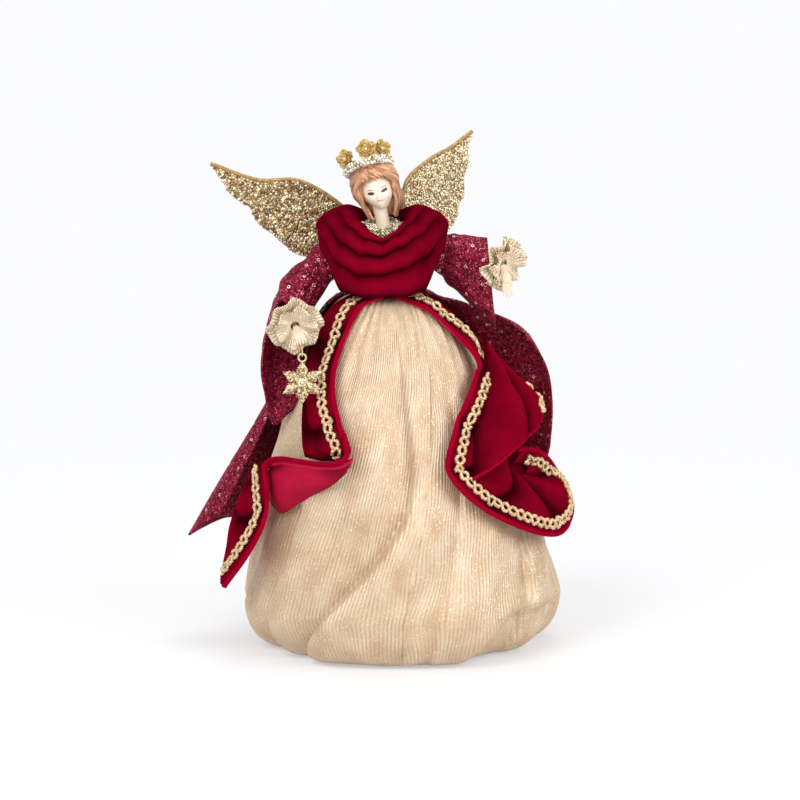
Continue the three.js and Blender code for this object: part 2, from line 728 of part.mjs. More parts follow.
addPiece("robe_back", clothGeometry(robeRows, CLOTH), 0x4d0d17, 0.5);

// Arms: shoulder, wire, bell sleeve, cuff frill and hand on each side
const RIGHT_SHOULDER = onBody(BODY_X - TORSO_HALF_WIDTH - SHOULDER_BALL_RADIUS - GAP, 2, -7);
const LEFT_SHOULDER = onBody(BODY_X + TORSO_HALF_WIDTH + SHOULDER_BALL_RADIUS + GAP, 2, -7);
// A sleeve head is gathered on to the shoulder ball.
const GATHER = SHOULDER_BALL_RADIUS + GAP + CLOTH / 2 + 0.2;
const ARMS = [
  {
    side: "right",
    wire: [
      RIGHT_SHOULDER,
      onBody(-48, 2, -20),
      onBody(-61, -5, -35),
      onBody(-67, -22, -44.6),
      onBody(-63, -41, -49),
    ],
    sleeve: [
      {
        centre: RIGHT_SHOULDER.clone().add(vector(-1.2, 0, -0.9)),
        across: vector(0, GATHER, 0),
        down: vector(2.4, 0, -2.9),
      },
      { centre: onBody(-39, 2, -11.5), across: vector(0, 9, 0), down: vector(5.6, 0, -6.4) },
      { centre: onBody(-50, 2, -23), across: vector(0, 11, 0), down: vector(7, 0, -7.2) },
      { centre: onBody(-63, -5, -39), across: vector(-7, 9, 0), down: vector(5, 5, -12) },
      { centre: onBody(-69, -16, -57), across: vector(-10.5, 2, 0), down: vector(0, 8, -21) },
      { centre: onBody(-71, -25, -73), across: vector(-11, 0, 0), down: vector(-2, 3, -36) },
    ],
    cuff: { centre: onBody(-63.6, -38.5, -48.4), axis: vector(0.22, -0.94, -0.24), radius: 15.5, waves: 7 },
    hand: [onBody(-62.8, -41.6, -49.2), onBody(-60.6, -49, -53), onBody(-58.8, -56, -56.8)],
  },
  {
    side: "left",
    wire: [
      LEFT_SHOULDER,
      onBody(26, 2, -9),
      onBody(44, -3, -11),
      onBody(52, -10, -13),
      onBody(55.5, -18.5, -16),
    ],
    sleeve: [
      {
        centre: LEFT_SHOULDER.clone().add(vector(1.4, 0, 0)),
        across: vector(0, GATHER, 0),
        down: vector(0, 0, -GATHER),
      },
      { centre: onBody(13, 3.4, -10.5), across: vector(0, 8, 0), down: vector(0, 0, -8.4) },
      { centre: onBody(22, 3, -15), across: vector(0, 9.5, 0), down: vector(1, 0, -13) },
      { centre: onBody(37, 0, -24), across: vector(0, 10.5, 0), down: vector(3, 0, -20.5) },
      { centre: onBody(50, -3, -31), across: vector(0, 11, 0), down: vector(2.5, 0, -26) },
    ],
    cuff: { centre: onBody(55, -17.4, -15.5), axis: vector(0.68, -0.68, -0.3), radius: 15, waves: 7 },
    hand: [onBody(56, -19.6, -16.8), onBody(58.5, -22.5, -25), onBody(59.5, -24, -35)],
  },
];
const SLEEVE_AROUND = 20;
const SLEEVE_ROWS = 8;
const SLEEVE_RIPPLE = 0.06;
function sleeveRows(stations) {
  const loops = Array.from({ length: SLEEVE_AROUND }, (_, i) => {
    const turn = (2 * Math.PI * i) / SLEEVE_AROUND;
    const curve = curveThrough(
      stations.map(({ centre, across, down }, k) => {
        const swell = 1 + ((SLEEVE_RIPPLE * k) / (stations.length - 1)) * Math.cos(5 * turn);
        return centre
          .clone()
          .addScaledVector(across, swell * Math.cos(turn))
          .addScaledVector(down, swell * Math.sin(turn));
      }),
    );
    return Array.from({ length: SLEEVE_ROWS }, (_, j) => curve.getPoint(j / (SLEEVE_ROWS - 1)));
  });
  return loops;
}
const CUFF_HOLE = ARM_WIRE_RADIUS + 2 * GAP;
const CUFF_WAVE = 3.2;
function cuffRows({ centre, axis, radius, waves }) {
  const direction = axis.clone().normalize();
  const across = vector(0, 0, 1).cross(direction).normalize();
  const up = direction.clone().cross(across);
  const columns = 28;
  return Array.from({ length: columns }, (_, i) => {
    const turn = (2 * Math.PI * i) / columns;
    const spoke = across.clone().multiplyScalar(Math.cos(turn)).addScaledVector(up, Math.sin(turn));
    return [0, 0.5, 1].map((share) => {
      const reach = THREE.MathUtils.lerp(CUFF_HOLE, radius, share);
      const wave = CUFF_WAVE * share * Math.sin(waves * turn);
      return centre
        .clone()
        .addScaledVector(spoke, reach)
        .addScaledVector(direction, wave + 2.4 * share);
    });
  });
}
function handGeometry(path) {
  const curve = curveThrough(path);
  const frames = curve.computeFrenetFrames(5, false);
  const loops = [1.5, 2.5, 2.9, 2.6, 1.7, 0.9].map((width, k) => {
    const middle = curve.getPointAt(k / 5);
    return Array.from({ length: 10 }, (_, i) => {
      const turn = (2 * Math.PI * i) / 10;
      return middle
        .clone()
        .addScaledVector(frames.normals[k], width * Math.cos(turn))
        .addScaledVector(frames.binormals[k], 0.62 * width * Math.sin(turn));
    });
  });
  return loftGeometry(loops);
}
for (const { side, wire, sleeve, cuff, hand } of ARMS) {
  const ball = ellipsoidGeometry(vector(1, 1, 1).multiplyScalar(SHOULDER_BALL_RADIUS), wire[0], 10, 6);
  const rod = tubeGeometry(curveThrough(wire), ARM_WIRE_RADIUS, 14, 3);
  addPiece(`${side}_arm_wire`, geometryOf(manifoldOf(ball).add(manifoldOf(rod))), 0x9a9a96, 0.4, 0.9);
  addPiece(`${side}_sleeve`, clothGeometry(sleeveRows(sleeve), CLOTH, true), 0x5a0f1a, 0.5);
  addPiece(`${side}_cuff`, clothGeometry(cuffRows(cuff), CLOTH, true), 0xcfae62, 0.4, 0.5);
  addPiece(`${side}_hand`, handGeometry(hand), 0xf0d9c4, 0.45);
}

// Snowflake that hangs from the right hand on a thread loop
const FLAKE_CENTRE = onBody(-58.8, -57, -79);
const EYE_RADIUS = 2.2;
const EYE_TUBE = 0.55;
const THREAD_RADIUS = 3;
const THREAD_TUBE = 0.4;
const flakeOutline = Array.from({ length: 60 }, (_, i) => {
  const turn = (2 * Math.PI * i) / 60;
  const petal = Math.abs(Math.cos(3 * turn));
  const reach = FLAKE_RADIUS * (0.3 + 0.7 * petal ** 0.8);
  return new THREE.Vector2(reach * Math.sin(turn), reach * Math.cos(turn));
});
const flakePlate = new THREE.ExtrudeGeometry(new THREE.Shape().setFromPoints(flakeOutline), {
  depth: FLAKE_THICKNESS,
  bevelEnabled: false,
})
  .translate(0, 0, -FLAKE_THICKNESS / 2)
  .rotateX(Math.PI / 2);
const flakeEye = new THREE.TorusGeometry(EYE_RADIUS, EYE_TUBE, 6, 14)
  .rotateX(Math.PI / 2)
  .translate(0, 0, FLAKE_RADIUS + EYE_RADIUS - 0.3);
const flake = geometryOf(manifoldOf(flakePlate).add(manifoldOf(flakeEye)));
addPiece("snowflake", flake.translate(FLAKE_CENTRE.x, FLAKE_CENTRE.y, FLAKE_CENTRE.z), 0xd8a83a, 0.35, 0.7);
const eyeTop = FLAKE_CENTRE.z + FLAKE_RADIUS + 2 * EYE_RADIUS - 0.3 - EYE_TUBE;
const threadCentre = eyeTop - THREAD_TUBE - GAP + THREAD_RADIUS;
addPiece(
  "snowflake_thread",
  new THREE.TorusGeometry(THREAD_RADIUS, THREAD_TUBE, 5, 14)
    .rotateY(Math.PI / 2)
    .translate(FLAKE_CENTRE.x, FLAKE_CENTRE.y, threadCentre),
  0xd9c9a0,
  0.6,
);

// Wings: spar places and trailing edge as distance out from the root and height above the torso's top.
// Each wing is swept back about its root.
const WING_PLATE_HALF = 12;
const WING_PLATE_DEPTH = 4;
const wingPlateFront = TORSO_HALF_DEPTH + GAP;
const WINGS = [
  {
    side: "right",
    root: vector(BODY_X - 8, wingPlateFront + WING_PLATE_DEPTH + GAP + SPAR_RADIUS, 0),
    outward: -1,
    sweep: 8,
    spar: [[0, -10], [6, 0], [17, 12], [42, 26], [66, 26], [94, 35]],
    trailing: [
      [84, 20], [78, 14], [71, 10], [66, 1], [58, -5], [51, -11], [43, -17], [34, -18], [20, -14], [8, -14],
    ],
  },
  {
    side: "left",
    root: vector(BODY_X + 8, wingPlateFront + WING_PLATE_DEPTH + GAP + SPAR_RADIUS, 0),
    outward: 1,
    sweep: 44,
    spar: [[0, -10], [3, 10], [7, 26], [26, 37], [42, 42], [60, 50]],
    trailing: [
      [56, 39], [56, 30], [53, 24], [53, 14], [49, 8], [47, 1], [41, -6], [32, -10], [20, -12], [8, -14],
    ],
  },
];
addPiece(
  "wing_plate",
  new THREE.BoxGeometry(2 * WING_PLATE_HALF, WING_PLATE_DEPTH, 14).translate(
    BODY_X,
    wingPlateFront + WING_PLATE_DEPTH / 2,
    TORSO_TOP - 12,
  ),
  0xb08a40,
  0.6,
);
for (const { side, root, outward, sweep, spar, trailing } of WINGS) {
  const turn = radians(sweep);
  const place = ([out, height]) =>
    onBody(root.x + outward * out * Math.cos(turn), root.y + out * Math.sin(turn), height);
  const sparCurve = curveThrough(spar.map(place));
  addPiece(`${side}_wing_spar`, tubeGeometry(sparCurve, SPAR_RADIUS, 20, 3), 0x9a7030, 0.4, 0.6);
  const sparFlat = new THREE.SplineCurve(spar.map(([out, height]) => new THREE.Vector2(out, height)));
  const clear = SPAR_RADIUS + GAP;
  const leading = Array.from({ length: 22 }, (_, i) => {
    const along = 0.1 + (0.88 * i) / 21;
    const middle = sparFlat.getPoint(along);
    const tangent = sparFlat.getTangent(along);
    return new THREE.Vector2(middle.x + tangent.y * clear, middle.y - tangent.x * clear);
  });
  const edge = new THREE.SplineCurve(trailing.map(([out, height]) => new THREE.Vector2(out, height)));
  const outline = [...leading, ...edge.getPoints(36)];
  const plate = new THREE.ExtrudeGeometry(new THREE.Shape().setFromPoints(outline), {
    depth: WING_THICKNESS,
    bevelEnabled: false,
  })
    .translate(0, 0, -WING_THICKNESS / 2)
    .rotateX(Math.PI / 2);
  if (outward < 0) {
    plate.rotateZ(Math.PI);
  }
  plate.rotateZ(outward * turn).translate(root.x, root.y, TORSO_TOP);
  addPiece(`${side}_wing`, plate, 0xd9a93c, 0.35, 0.7);
}

// The part stands on z = 0 with its box centred on the origin.
const box = new THREE.Box3().setFromObject(group);
const middle = box.getCenter(vector(0, 0, 0));
group.position.set(-middle.x, -middle.y, -box.min.z);

export default group;
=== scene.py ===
"""The looks of a fairy tree topper: a doll in a crinkled gold skirt and a wired velvet and sequin robe.

Places are written in millimetres in the maker's frame, in which the card cone stands on the origin, z is up
and the doll faces -Y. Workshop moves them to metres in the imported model's frame.
"""

import itertools
import logging
import math
from collections.abc import Sequence
from dataclasses import dataclass, field
from enum import Enum, IntEnum
from typing import ClassVar

import bpy
import numpy as np
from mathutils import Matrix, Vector


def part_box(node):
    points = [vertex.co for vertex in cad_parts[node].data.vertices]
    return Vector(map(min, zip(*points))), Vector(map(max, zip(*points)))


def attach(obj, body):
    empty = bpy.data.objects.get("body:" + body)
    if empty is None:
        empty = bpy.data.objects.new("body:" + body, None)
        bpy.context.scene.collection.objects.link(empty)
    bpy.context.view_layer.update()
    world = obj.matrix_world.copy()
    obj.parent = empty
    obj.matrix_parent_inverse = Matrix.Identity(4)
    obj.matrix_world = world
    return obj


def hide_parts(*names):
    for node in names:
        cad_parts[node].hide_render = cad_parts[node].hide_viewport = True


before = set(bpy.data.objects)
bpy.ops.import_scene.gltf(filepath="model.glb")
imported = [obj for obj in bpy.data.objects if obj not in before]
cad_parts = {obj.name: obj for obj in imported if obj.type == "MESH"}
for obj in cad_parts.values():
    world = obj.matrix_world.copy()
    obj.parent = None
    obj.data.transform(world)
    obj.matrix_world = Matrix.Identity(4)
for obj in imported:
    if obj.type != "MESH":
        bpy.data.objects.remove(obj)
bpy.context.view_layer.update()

LOG = logging.getLogger("tree_topper")
MM = 0.001
TORSO_TOP = 242.0
UP = (0.0, 0.0, 1.0)
Points = np.ndarray
Triple = tuple[float, float, float]
Pair = tuple[float, float]
Colour = tuple[int, int, int]
Shape = tuple[Points, Points]


class Body(Enum):
    """The moving bodies of the topper."""

    FIGURE = "figure"
    RIGHT_ARM = "right_arm"
    LEFT_ARM = "left_arm"
    RIGHT_WING = "right_wing"
    LEFT_WING = "left_wing"
    SNOWFLAKE = "snowflake"


class Side(Enum):
    """The doll's own sides, as the sign of x."""

    RIGHT = -1
    LEFT = 1

    @property
    def word(self) -> str:
        """The side's name as the nodes spell it."""
        return self.name.lower()


class Seed(IntEnum):
    """The seeds of what is spread or bent at random."""

    SKIRT_FORM = 5
    RIB_WANDER = 11
    RIB_HEIGHT = 23
    GATHERS = 31
    SKIRT_TONE = 47
    WADDING = 61
    ROBE = 71
    ROBE_SEQUINS = 83
    FRONT_SEQUINS = 89
    SLEEVE = 91
    SLEEVE_SEQUINS = 97
    CUFF_BEADS = 131
    SNOWFLAKE = 151
    PETAL_FLAKES = 153
    WING = 171
    WING_FLAKES = 173
    WIG = 211
    CROWN = 223
    NECK = 229


class Held(Enum):
    """How a sheet of cloth is held."""

    DRAPED = "draped"
    GATHERED = "gathered"


def row_shift() -> Points:
    """The step from the maker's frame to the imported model's frame, in millimetres, read off the base ring."""
    low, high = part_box("base_ring")
    return np.array([(low.x + high.x) / 2, (low.y + high.y) / 2, low.z]) / MM


SHIFT = row_shift()


def on_body(x: float, y: float, rise: float) -> Triple:
    """A place on the upper body, with its height above the torso's top."""
    return x, y, TORSO_TOP + rise


def unit(vectors: Points) -> Points:
    """Vectors scaled to length one; a zero vector stays zero."""
    length = np.linalg.norm(vectors, axis=-1, keepdims=True)
    return vectors / np.maximum(length, 1e-9)


def smoothstep(value: Points, low: float, high: float) -> Points:
    """A smooth ramp from 0 at low to 1 at high."""
    share = np.clip((np.asarray(value, float) - low) / (high - low), 0, 1)
    return share * share * (3 - 2 * share)


def angle_between(a: Points, b: float) -> Points:
    """The signed turn from b to a in degrees, from -180 to 180."""
    return (np.asarray(a, float) - b + 180) % 360 - 180


def full_turn(count: int) -> Points:
    """Equal angles once round, in radians."""
    return np.linspace(0, 2 * np.pi, count, endpoint=False)


def round_axis(turn: Points, reach: Points, z: Points, x: Points | float = 0.0) -> Points:
    """Places round an upright axis at x, from the turn off the front, the distance and the height."""
    return np.stack(np.broadcast_arrays(x + reach * np.sin(turn), -reach * np.cos(turn), z), axis=-1)


def turned_about(points: Points, axis: int, degrees: float) -> Points:
    """Points turned about an axis: 0 for x, 1 for y and 2 for z.

    Args:
        points: the points.
        axis: the number of the axis.
        degrees: the turn.

    Returns:
        The turned points.
    """
    b, c = (axis + 1) % 3, (axis + 2) % 3
    cosine, sine = math.cos(math.radians(degrees)), math.sin(math.radians(degrees))
    made = np.array(points, float)
    made[..., b] = points[..., b] * cosine - points[..., c] * sine
    made[..., c] = points[..., b] * sine + points[..., c] * cosine
    return made


def ellipsoid(middle: Triple, size: Triple, polar: Points, azimuth: Points) -> Points:
    """Places on an ellipsoid, from the angles down from its top and round from its front, in radians.

    Args:
        middle: its middle.
        size: its half sizes along x, y and z.
        polar: angles down from its top.
        azimuth: angles round from its front.

    Returns:
        The places.
    """
    x = middle[0] + size[0] * np.sin(polar) * np.sin(azimuth)
    y = middle[1] - size[1] * np.sin(polar) * np.cos(azimuth)
    return np.stack([x, y, middle[2] + size[2] * np.cos(polar) + 0 * azimuth], axis=-1)


def span_points(padded: Points, shares: Points) -> tuple[Points, list[Points]]:
    """Where shares fall on a curve whose places have one more point at each end.

    Args:
        padded: the places with the points added to them.
        shares: 0 at the curve's start and 1 at its end, equal steps for each span.

    Returns:
        The share within its span, and the four points about the span, for each share.
    """
    spans = len(padded) - 3
    along = np.clip(np.asarray(shares, float), 0, 1) * spans
    span = np.minimum(along.astype(int), spans - 1)
    return (along - span)[:, None], [padded[span + k] for k in range(4)]


def curve_at(places: Sequence, shares: Points) -> Points:
    """Points on a centripetal Catmull-Rom curve through places, 0 at its start and 1 at its end.

    Args:
        places: what it goes through.
        shares: 0 at the curve's start and 1 at its end.

    Returns:
        A point for each share.
    """
    knots = np.asarray(places, float)
    padded = np.vstack([2 * knots[0] - knots[1], knots, 2 * knots[-1] - knots[-2]])
    local, (p0, p1, p2, p3) = span_points(padded, shares)

    def gap(a: Points, b: Points) -> Points:
        """The knot interval between two neighbouring points."""
        return np.maximum(np.linalg.norm(b - a, axis=1, keepdims=True) ** 0.5, 1e-4)

    d0, d1, d2 = gap(p0, p1), gap(p1, p2), gap(p2, p3)
    leave = ((p1 - p0) / d0 - (p2 - p0) / (d0 + d1) + (p2 - p1) / d1) * d1
    arrive = ((p2 - p1) / d1 - (p3 - p1) / (d1 + d2) + (p3 - p2) / d2) * d1
    bend = -3 * p1 + 3 * p2 - 2 * leave - arrive
    return p1 + leave * local + bend * local**2 + (2 * p1 - 2 * p2 + leave + arrive) * local**3


def even_curve_at(places: Sequence, shares: Points) -> Points:
    """Points on a uniform Catmull-Rom curve through places, 0 at its start and 1 at its end.

    Args:
        places: what it goes through.
        shares: 0 at the curve's start and 1 at its end.

    Returns:
        A point for each share.
    """
    knots = np.asarray(places, float)
    local, (p0, p1, p2, p3) = span_points(np.vstack([knots[:1], knots, knots[-1:]]), shares)
    leave, arrive = (p2 - p0) / 2, (p3 - p1) / 2
    bend = -3 * p1 + 3 * p2 - 2 * leave - arrive
    return (2 * p1 - 2 * p2 + leave + arrive) * local**3 + bend * local**2 + leave * local + p1


def run_lengths(line: Points) -> Points:
    """How far along a polyline each of its points is."""
    return np.concatenate([[0], np.cumsum(np.linalg.norm(np.diff(line, axis=0), axis=1))])


def points_along(wanted: Points, run: Points, line: Points) -> Points:
    """The places at wanted distances along a polyline whose run lengths are given."""
    return np.stack([np.interp(wanted, run, line[:, k]) for k in range(3)], axis=1)


def even_points(line: Points, step: float, closed: bool = False) -> Points:
    """A polyline cut again into equal steps of about the given length.

    Args:
        line: its points.
        step: the length.
        closed: whether it returns to its start.

    Returns:
        The new points.
    """
    if closed:
        line = np.vstack([line, line[:1]])
    run = run_lengths(line)
    count = max(2, int(round(run[-1] / step)))
    wanted = np.linspace(0, run[-1], count + 1)
    return points_along(wanted[:-1] if closed else wanted, run, line)


def grid_faces(rows: int, columns: int, ring: bool = False, tube: bool = False) -> Points:
    """The quads of a grid of points; ring wraps the rows round, and tube the columns.

    Args:
        rows: how many points the first index counts.
        columns: how many points the second index counts.
        ring: whether the first index wraps round.
        tube: whether the second index wraps round.

    Returns:
        The quads' corners, a row for each.
    """
    a, b = np.meshgrid(
        np.arange(rows if ring else rows - 1), np.arange(columns if tube else columns - 1), indexing="ij"
    )
    a2, b2 = (a + 1) % rows, (b + 1) % columns
    corners = [a * columns + b, a2 * columns + b, a2 * columns + b2, a * columns + b2]
    return np.stack([corner.ravel() for corner in corners], axis=1)


def grid_normals(grid: Points, ring: bool) -> Points:
    """The unit normals of a grid of points, grid[i, j]; the first index of a ring wraps round.

    Args:
        grid: grid[i, j].
        ring: whether the first index wraps round.

    Returns:
        The normals, in the grid's order.
    """
    if ring:
        along = np.roll(grid, -1, 0) - np.roll(grid, 1, 0)
    else:
        along = np.gradient(grid, axis=0)
    across = np.gradient(grid, axis=1)
    return unit(np.cross(along, across))


def carried_frames(line: Points, first: Points, closed: bool = False) -> tuple[Points, Points]:
    """Frames carried along a line without twist.

    Args:
        line: points along it.
        first: a direction that the first side vector is nearest to.
        closed: whether the line returns to its start.

    Returns:
        The side vectors and the up vectors.
    """
    if closed:
        tangents = unit(np.roll(line, -1, 0) - np.roll(line, 1, 0))
    else:
        tangents = unit(np.gradient(line, axis=0))
    sides = np.empty_like(line)
    side = np.asarray(first, float)
    for i, tangent in enumerate(tangents):
        side = side - tangent * np.dot(side, tangent)
        side = side / max(np.linalg.norm(side), 1e-9)
        sides[i] = side
    return sides, np.cross(tangents, sides)


class Draft:
    """A mesh in the making: points in millimetres, faces, a finish for each face, a shade for each point."""

    def __init__(self) -> None:
        """Starts with nothing drawn."""
        self._points: list[Points] = []
        self._faces: list[Points] = []
        self._slots: list[Points] = []
        self._shades: list[Points] = []
        self._count = 0

    def add(self, points: Points, faces: Points, slot: Points | int = 0, shade: Points | float = 0.5) -> None:
        """Adds points and the faces between them.

        Args:
            points: n by 3.
            faces: corner numbers into points, a row for each face of three or four corners.
            slot: the number of the finish of these faces, or one for each.
            shade: one number for all the points, or one for each.
        """
        points = np.asarray(points, float).reshape(-1, 3)
        faces = np.asarray(faces, int)
        self._points.append(points)
        self._faces.append(faces + self._count)
        self._slots.append(np.broadcast_to(np.asarray(slot, int), (len(faces),)))
        self._shades.append(np.broadcast_to(np.asarray(shade, float), (len(points),)).copy())
        self._count += len(points)

    def grid(
        self,
        grid: Points,
        ring: bool = False,
        slot: int = 0,
        shade: Points | float = 0.5,
        turned: bool = False,
        tube: bool = False,
    ) -> None:
        """Adds the quads of a grid of points.

        Args:
            grid: grid[i, j].
            ring: whether the first index wraps round.
            slot: the number of the finish.
            shade: one number, or one for each point of the grid.
            turned: whether the faces are turned over.
            tube: whether the second index wraps round.
        """
        faces = grid_faces(*grid.shape[:2], ring, tube)
        flat = shade if np.isscalar(shade) else np.asarray(shade).reshape(-1)
        self.add(grid.reshape(-1, 3), faces[:, ::-1] if turned else faces, slot, flat)

    def cloth(
        self,
        grid: Points,
        thickness: float | Points,
        ring: bool = False,
        outer: int = 0,
        inner: int = 0,
        shade: Points | float = 0.5,
    ) -> None:
        """Adds a cloth about a grid of points, closed round its rims.

        Args:
            grid: grid[i, j], with the outside on the side of the normals of rows crossed with columns.
            thickness: one thickness, or one for each point.
            ring: whether the first index wraps round.
            outer: the finish of the outside and the rims.
            inner: the finish of the inside.
            shade: one number, or one for each point of the grid.
        """
        normals = grid_normals(grid, ring)
        half = np.broadcast_to(np.asarray(thickness, float), grid.shape[:2])[..., None] / 2
        rows, columns = grid.shape[:2]
        number = np.arange(rows * columns).reshape(rows, columns)
        if ring:
            number = np.vstack([number, number[:1]])
        front = grid_faces(rows, columns, ring)
        behind = rows * columns
        rims = [(number[:, 0], True), (number[:, -1], False)]
        if not ring:
            rims += [(number[0], False), (number[-1], True)]
        around = []
        for line, over in rims:
            strip = np.stack([line[:-1], line[1:], line[1:] + behind, line[:-1] + behind], -1)
            around.append(strip[:, ::-1] if over else strip)
        points = np.concatenate([grid + normals * half, grid - normals * half]).reshape(-1, 3)
        flat = shade if np.isscalar(shade) else np.tile(np.asarray(shade).reshape(-1), 2)
        faces = np.concatenate([front, *around])
        slots = np.concatenate([np.full(len(faces), outer), np.full(len(front), inner)])
        self.add(points, np.concatenate([faces, front[:, ::-1] + behind]), slots, flat)

    def tube(
        self,
        line: Points,
        radius: float | Points,
        around: int = 8,
        closed: bool = False,
        slot: int = 0,
        shade: float = 0.5,
        flat: float = 1.0,
        first: Sequence[float] = (0.3, 0.2, 1),
    ) -> None:
        """Adds a round or flattened tube along a line.

        Args:
            line: points along its middle.
            radius: one radius, or one for each point.
            around: the number of points round it.
            closed: whether it returns to its start.
            slot: the number of the finish.
            shade: the shade of its points.
            flat: its height as a share of its width.
            first: the direction that its wide side starts nearest to.
        """
        sides, ups = carried_frames(line, np.asarray(first, float), closed)
        turn = full_turn(around)[None, :, None]
        reach = np.broadcast_to(np.asarray(radius, float), (len(line),))[:, None, None]
        wheel = np.cos(turn) * sides[:, None] + flat * np.sin(turn) * ups[:, None]
        rings = line[:, None] + reach * wheel
        self.grid(rings, closed, slot, shade, tube=True, turned=True)
        if not closed:
            later = np.arange(2, around)
            cap = np.stack([0 * later, later - 1, later], 1)
            self.add(rings[0], cap, slot, shade)
            self.add(rings[-1], cap[:, ::-1], slot, shade)

    def copies(
        self,
        shape: Shape,
        places: Points,
        axes: Sequence[Points],
        slot: int = 0,
        shade: Points | float = 0.5,
    ) -> None:
        """Adds a copy of a small shape at each place.

        Args:
            shape: the shape's points and faces.
            places: where each copy goes.
            axes: for each copy, the directions and lengths of the shape's x, y and z.
            slot: the number of the finish.
            shade: one number, or one for each copy.
        """
        points, faces = shape
        made = places[:, None]
        for k, axis in enumerate(axes):
            made = made + points[None, :, k : k + 1] * np.asarray(axis, float)[:, None]
        size = len(points)
        every = (faces[None] + (np.arange(len(places)) * size)[:, None, None]).reshape(-1, faces.shape[1])
        shades = shade if np.isscalar(shade) else np.repeat(np.asarray(shade), size)
        self.add(made.reshape(-1, 3), every, slot, shades)

    def beads(
        self,
        places: Points,
        size: Points | float,
        slot: int = 0,
        shade: Points | float = 0.5,
        facets: tuple[int, int] = (8, 6),
    ) -> None:
        """Adds a round bead at each place.

        Args:
            places: where each bead goes.
            size: one radius, or a column of them.
            slot: the number of the finish.
            shade: one number, or one for each bead.
            facets: the numbers of points round a bead and down it.
        """
        axes = [np.tile(axis, (len(places), 1)) * size for axis in np.eye(3)]
        self.copies(ball_shape(*facets), places, axes, slot, shade)

    def mesh(self, name: str) -> bpy.types.Mesh:
        """Makes the mesh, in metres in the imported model's frame.

        Args:
            name: the mesh's name.

        Returns:
            A smooth mesh with the attribute shade.
        """
        points = (np.vstack(self._points) + SHIFT) * MM
        faces = [face.tolist() for group in self._faces for face in group]
        mesh = bpy.data.meshes.new(name)
        mesh.from_pydata(points.tolist(), [], faces)
        mesh.polygons.foreach_set("material_index", np.concatenate(self._slots).astype(np.int32))
        mesh.polygons.foreach_set("use_smooth", np.ones(len(mesh.polygons), bool))
        layer = mesh.attributes.new("shade", "FLOAT", "POINT")
        layer.data.foreach_set("value", np.concatenate(self._shades).astype(np.float32))
        mesh.update()
        return mesh


def paint(red: int, green: int, blue: int) -> tuple[float, float, float, float]:
    """A screen colour, 0 to 255, as the linear colour that a shader takes.

    Args:
        red: its red.
        green: its green.
        blue: its blue.

    Returns:
        Red, green, blue and an alpha of one.
    """
    channels = [c / 255 for c in (red, green, blue)]
    linear = [c / 12.92 if c <= 0.04045 else ((c + 0.055) / 1.055) ** 2.4 for c in channels]
    return linear[0], linear[1], linear[2], 1.0


class Tree:
    """A node tree in the making."""

    def __init__(self, tree: bpy.types.NodeTree) -> None:
        """Takes the tree to draw in."""
        self.tree = tree

    def node(self, kind: str, settings: dict | None = None, **inputs: object) -> bpy.types.Node:
        """Adds a node.

        Args:
            kind: Blender's name of the node type.
            settings: the node's own properties.
            inputs: values or output sockets for its inputs, by name with _ for a space, or as n and a number.

        Returns:
            The node.
        """
        node = self.tree.nodes.new(kind)
        for key, value in (settings or {}).items():
            setattr(node, key, value)
        for key, value in inputs.items():
            numbered = key[0] == "n" and key[1:].isdigit()
            socket = node.inputs[int(key[1:]) if numbered else key.replace("_", " ")]
            if isinstance(value, bpy.types.NodeSocket):
                self.tree.links.new(value, socket)
            else:
                socket.default_value = value
        return node

    def mix(self, share: object, low: object, high: object) -> bpy.types.NodeSocket:
        """A mix of two colours by a share."""
        node = self.node("ShaderNodeMix", {"data_type": "RGBA"}, n0=share, n6=low, n7=high)
        return node.outputs[2]

    def maths(self, operation: str, first: object, second: object) -> bpy.types.NodeSocket:
        """The result of a sum on two numbers."""
        return self.node("ShaderNodeMath", {"operation": operation}, n0=first, n1=second).outputs[0]

    def vectors(self, operation: str, **inputs: object) -> bpy.types.NodeSocket:
        """The result of a sum on vectors."""
        return self.node("ShaderNodeVectorMath", {"operation": operation}, **inputs).outputs[0]

    def shade(self) -> bpy.types.NodeSocket:
        """The shade of the mesh's points."""
        return self.node("ShaderNodeAttribute", {"attribute_name": "shade"}).outputs["Fac"]

    def noise(self, scale: object, detail: float) -> bpy.types.NodeSocket:
        """Soft noise in the object's own space."""
        place = self.node("ShaderNodeTexCoord").outputs["Object"]
        return self.node("ShaderNodeTexNoise", None, Vector=place, Scale=scale, Detail=detail).outputs[0]


def fresh_tree(owner: bpy.types.Material | bpy.types.World) -> Tree:
    """The node tree of a new material or world, emptied.

    Args:
        owner: the material or world.

    Returns:
        The tree, ready to draw in.
    """
    owner.use_nodes = True
    owner.node_tree.nodes.clear()
    return Tree(owner.node_tree)


class Effect(Enum):
    """The effects that several finishes share, each a node group."""

    MOTTLE = "Mottle"
    SPARKLE = "Sparkle"
    PILE = "Pile"


